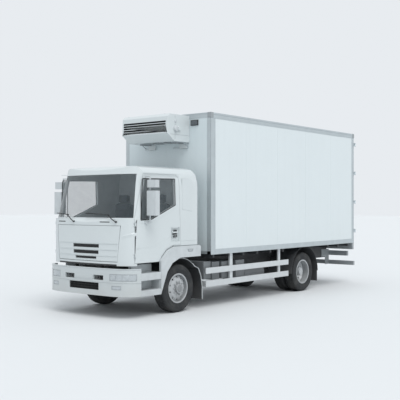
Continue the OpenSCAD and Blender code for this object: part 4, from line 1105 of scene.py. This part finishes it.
middle_x = middle("front_left_tyre", 0)
rear_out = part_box("rear_left_tyres")[1].x - TYRE_W / 2
rear_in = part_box("rear_left_tyres")[0].x + TYRE_W / 2
for side, sign in (("left", 1), ("right", -1)):
    body = "front_%s_wheel" % side
    bm = bmesh.new()
    tyre_mesh(bm, sign * middle_x, 0, sign)
    piece = piece_from(body + "_tyre", bm, body, RUBBER, 0.0, angle=32)
    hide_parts("front_%s_tyre" % side)
    softened("front_%s_rim" % side, RIM_SILVER, 0.0, angle=32)
    rims, nuts, cap = bmesh.new(), bmesh.new(), bmesh.new()
    front_disc_parts(sign, rims, nuts, cap)
    piece_from(body + "_rim_edge", rims, body, RIM_SILVER)
    piece_from(body + "_nuts", nuts, body, RIM_SILVER)
    piece_from(body + "_hub_cover", cap, body, HUB_GREY)

    body = "rear_%s_wheels" % side
    bm = bmesh.new()
    tyre_mesh(bm, sign * rear_out, REAR_AXLE, sign)
    tyre_mesh(bm, sign * rear_in, REAR_AXLE, sign)
    piece = piece_from(body + "_tyres", bm, body, RUBBER, 0.0, angle=32)
    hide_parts("rear_%s_tyres" % side)
    softened("rear_%s_rims" % side, RIM_SILVER, 0.0, angle=32)
    rims, nuts, cap = bmesh.new(), bmesh.new(), bmesh.new()
    lathe(rims, RIM_EDGE, sign * rear_out, REAR_AXLE, None, 96, sign)
    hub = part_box("rear_%s_rims" % side)[1].x if sign > 0 else -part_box("rear_%s_rims" % side)[0].x
    lathe(cap, [[0.0, 0.222], [0.045, 0.221], [0.070, 0.214], [0.080, 0.200], [0.086, 0.190],
                [0.088, 0.120], [0.104, 0.114], [0.1065, 0.020]],
          sign * (rear_out + rear_in) / 2, REAR_AXLE, None, 64, sign)
    for k in range(NUTS):
        wheel_nut(nuts, sign * ((rear_out + rear_in) / 2 + 0.016), REAR_AXLE,
                  2 * math.pi * (k + 0.5) / NUTS, 0.1425, sign)
    piece_from(body + "_rim_edge", rims, body, RIM_SILVER)
    piece_from(body + "_nuts", nuts, body, RIM_SILVER)
    piece_from(body + "_hub_cover", cap, body, HUB_GREY)


# ------------------------------------------------------------------ inside the cab
def pillow(name, low, high, face_axis, body, channels=(), across=(), crown=0.18, corner=5.0):
    """A stuffed cushion filling a box given from the front axle: crowned on its sitting face, its
    sides pulled in to a seam, with stitched channels one way and cross seams the other."""
    bm = bmesh.new()
    bmesh.ops.create_cube(bm, size=2.0)
    bmesh.ops.subdivide_edges(bm, edges=bm.edges, cuts=23, use_grid_fill=True)
    a, b, w = [i for i in range(3) if i != face_axis] + [face_axis]
    middle_point = [(low[i] + high[i]) / 2 for i in range(3)]
    half = [(high[i] - low[i]) / 2 for i in range(3)]
    for v in bm.verts:
        p = [v.co[i] for i in range(3)]
        # round the corners in plan, then over the edge
        plan = (abs(p[a]) ** corner + abs(p[b]) ** corner) ** (1 / corner)
        if plan > 0:
            most = max(abs(p[a]), abs(p[b]))
            p[a], p[b] = p[a] * most / plan, p[b] * most / plan
        edge = min(1.0, max(abs(p[a]), abs(p[b])))
        rounded = (1 - edge ** 6) ** 0.5 if edge < 1 else 0.0
        depth = p[w] * (0.62 + 0.38 * rounded)
        swell = crown * (1 - p[a] ** 2) * (1 - p[b] ** 2)
        front = p[w] > 0
        depth += (swell if front else -0.3 * swell) * abs(p[w])
        # seam pulled in half way up the sides
        if abs(p[w]) < 0.98:
            tuck = 1 - 0.035 * math.exp(-(p[w] / 0.16) ** 2) + 0.025 * (1 - p[w] ** 2)
            p[a], p[b] = p[a] * tuck, p[b] * tuck
        if front:
            for c in channels:
                depth -= 0.13 * math.exp(-((p[a] - c) / 0.030) ** 2) * (1 - p[b] ** 6)
            for c in across:
                depth -= 0.15 * math.exp(-((p[b] - c) / 0.028) ** 2) * (1 - p[a] ** 6)
        # sag and small creases, so no two parts of the cover are quite alike
        depth += 0.018 * math.sin(5.1 * p[a] + 2.3 * p[b]) * (1 - p[a] ** 2) * (1 if front else 0)
        p[w] = depth
        v.co = Vector([middle_point[i] + half[i] * p[i] for i in range(3)])
        v.co.y += AXLE
    mesh = mesh_of(name, bm)
    piece = finished(name, mesh, body, SEAT_CLOTH, 0.0, angle=60)
    soft = piece.modifiers.new("round", "SUBSURF")
    soft.levels = soft.render_levels = 1
    return piece


def seats():
    for side, x in (("left", 0.52), ("right", -0.52)):
        pillow(side + "_seat_cushion", (x - 0.25, -0.450, 1.490), (x + 0.25, 0.085, 1.635), 2,
                           "cab", (-0.45, 0.45), (-0.2, 0.45))
        back = pillow(side + "_seat_back", (x - 0.23, 0.065, 1.530), (x + 0.23, 0.205, 2.185), 1, "cab",
                      (-0.48, 0.48), (-0.45, 0.0, 0.5))
        # the sitting face of a back looks forwards
        for v in back.data.vertices:
            v.co.y = 2 * (AXLE + 0.135) - v.co.y
        back.data.flip_normals()
        pillow(side + "_headrest", (x - 0.13, 0.085, 2.195), (x + 0.13, 0.185, 2.365), 1,
                           "cab", (), (0.0,), 0.25)
    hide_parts("seats")
    base = bmesh.new()
    for x in (-0.52, 0.52):
        prism(base, [(-0.20, 1.381), (0.09, 1.381), (0.06, 1.500), (-0.16, 1.500)], 0, x - 0.17, x + 0.17)
        block(base, (x - 0.20, -0.36, 1.478), (x + 0.20, 0.08, 1.500))
        for dx in (-0.055, 0.055):
            rod(base, (x + dx, 0.135, 2.150), (x + dx, 0.135, 2.230), 0.006, 12)
        block(base, (x - 0.245, 0.0, 1.46), (x - 0.225, 0.16, 1.56))
        block(base, (x + 0.225, 0.0, 1.46), (x + 0.245, 0.16, 1.56))
    piece_from("seat_frames", base, "cab", DARK, 0.004, 2)


def dash_and_wheel():
    bm, grey = bmesh.new(), bmesh.new()
    # instrument hood, vents, pocket lids and column cover
    prism(bm, [(-1.200, 1.795), (-1.045, 1.740), (-1.075, 1.800), (-1.150, 1.862), (-1.230, 1.850)], 0,
          0.30, 0.74)
    for x in (-0.80, -0.42, 0.10, 0.86):
        block(grey, (x - 0.07, -1.052, 1.660), (x + 0.07, -1.036, 1.715))
        for k in range(4):
            block(bm, (x - 0.062, -1.040, 1.666 + k * 0.012), (x + 0.062, -1.033, 1.671 + k * 0.012))
    block(grey, (-0.95, -1.050, 1.545), (-0.30, -1.037, 1.640))
    block(bm, (-0.22, -1.052, 1.545), (0.24, -1.034, 1.645))
    for k in range(5):
        bead(grey, (-0.16 + k * 0.075, -1.034, 1.590), 0.016, (0, 1, 0))
    rod(bm, (0.52, -0.955, 1.694), (0.52, -1.060, 1.570), 0.042, 20)
    piece_from("dash_fittings", bm, "cab", DARK, 0.004, 2)
    piece_from("dash_lids", grey, "cab", CAB_LINING, 0.004, 2)
    bm = bmesh.new()
    for x in (0.40, 0.52, 0.64):
        block(bm, (x - 0.028, -1.085, 1.095), (x + 0.028, -1.070, 1.185))
        rod(bm, (x, -1.085, 1.16), (x, -1.16, 1.36), 0.009, 10)
    rod(bm, (0.13, -0.62, 1.10), (0.13, -0.68, 1.52), 0.011, 12)
    bead(bm, (0.13, -0.68, 1.53), 0.028, (0, 0, 1), 1.0)
    piece_from("pedals_and_lever", bm, "cab", STEEL, 0.003, 1)


seats()
dash_and_wheel()


# ------------------------------------------------------------------ stage
EYE, EYE_PITCH, EYE_TURN, LENS = (10.903, -11.533, 2.161), 90.33, 38.674, 67.96
STUDIO_TONE = (0.806, 0.838, 0.871, 1.0)
LIGHT_FROM, LIGHT_POWER, LIGHT_SPREAD = (0.52, -0.28, 0.9), 1.55, 34


def stage():
    bm = bmesh.new()
    bmesh.ops.create_grid(bm, x_segments=1, y_segments=1, size=120.0)
    mesh = bpy.data.meshes.new("floor")
    bm.to_mesh(mesh)
    bm.free()
    floor = bpy.data.objects.new("floor", mesh)
    bpy.context.scene.collection.objects.link(floor)
    f = Finish("pale_floor")
    f.set("Base Color", f.blend(f.noise(0.4, 2.0), (0.680, 0.700, 0.712), (0.688, 0.708, 0.720)))
    f.set("Roughness", f.noise(1.0) * 0.05 + 0.75)
    f.set("Specular IOR Level", 0.15)
    mesh.materials.append(f.material)

    world = bpy.data.worlds.new("studio")
    bpy.context.scene.world = world
    world.use_nodes = True
    world.node_tree.nodes["Background"].inputs["Color"].default_value = STUDIO_TONE
    world.node_tree.nodes["Background"].inputs["Strength"].default_value = 1.0

    sun = bpy.data.lights.new("soft_top_light", "SUN")
    sun.energy, sun.angle, sun.color = LIGHT_POWER, rad(LIGHT_SPREAD), (1.0, 0.995, 0.985)
    made = bpy.data.objects.new("soft_top_light", sun)
    bpy.context.scene.collection.objects.link(made)
    made.rotation_euler = Vector(LIGHT_FROM).to_track_quat("Z", "Y").to_euler()

    camera = bpy.data.cameras.new("camera")
    camera.sensor_width, camera.lens = 36.0, LENS
    camera.clip_end = 500.0
    made = bpy.data.objects.new("camera", camera)
    bpy.context.scene.collection.objects.link(made)
    made.location = (EYE[0], AXLE + EYE[1], EYE[2])
    made.rotation_euler = (rad(EYE_PITCH), 0.0, rad(EYE_TURN))
    bpy.context.scene.camera = made
    bpy.context.scene.view_settings.view_transform = "Standard"


stage()
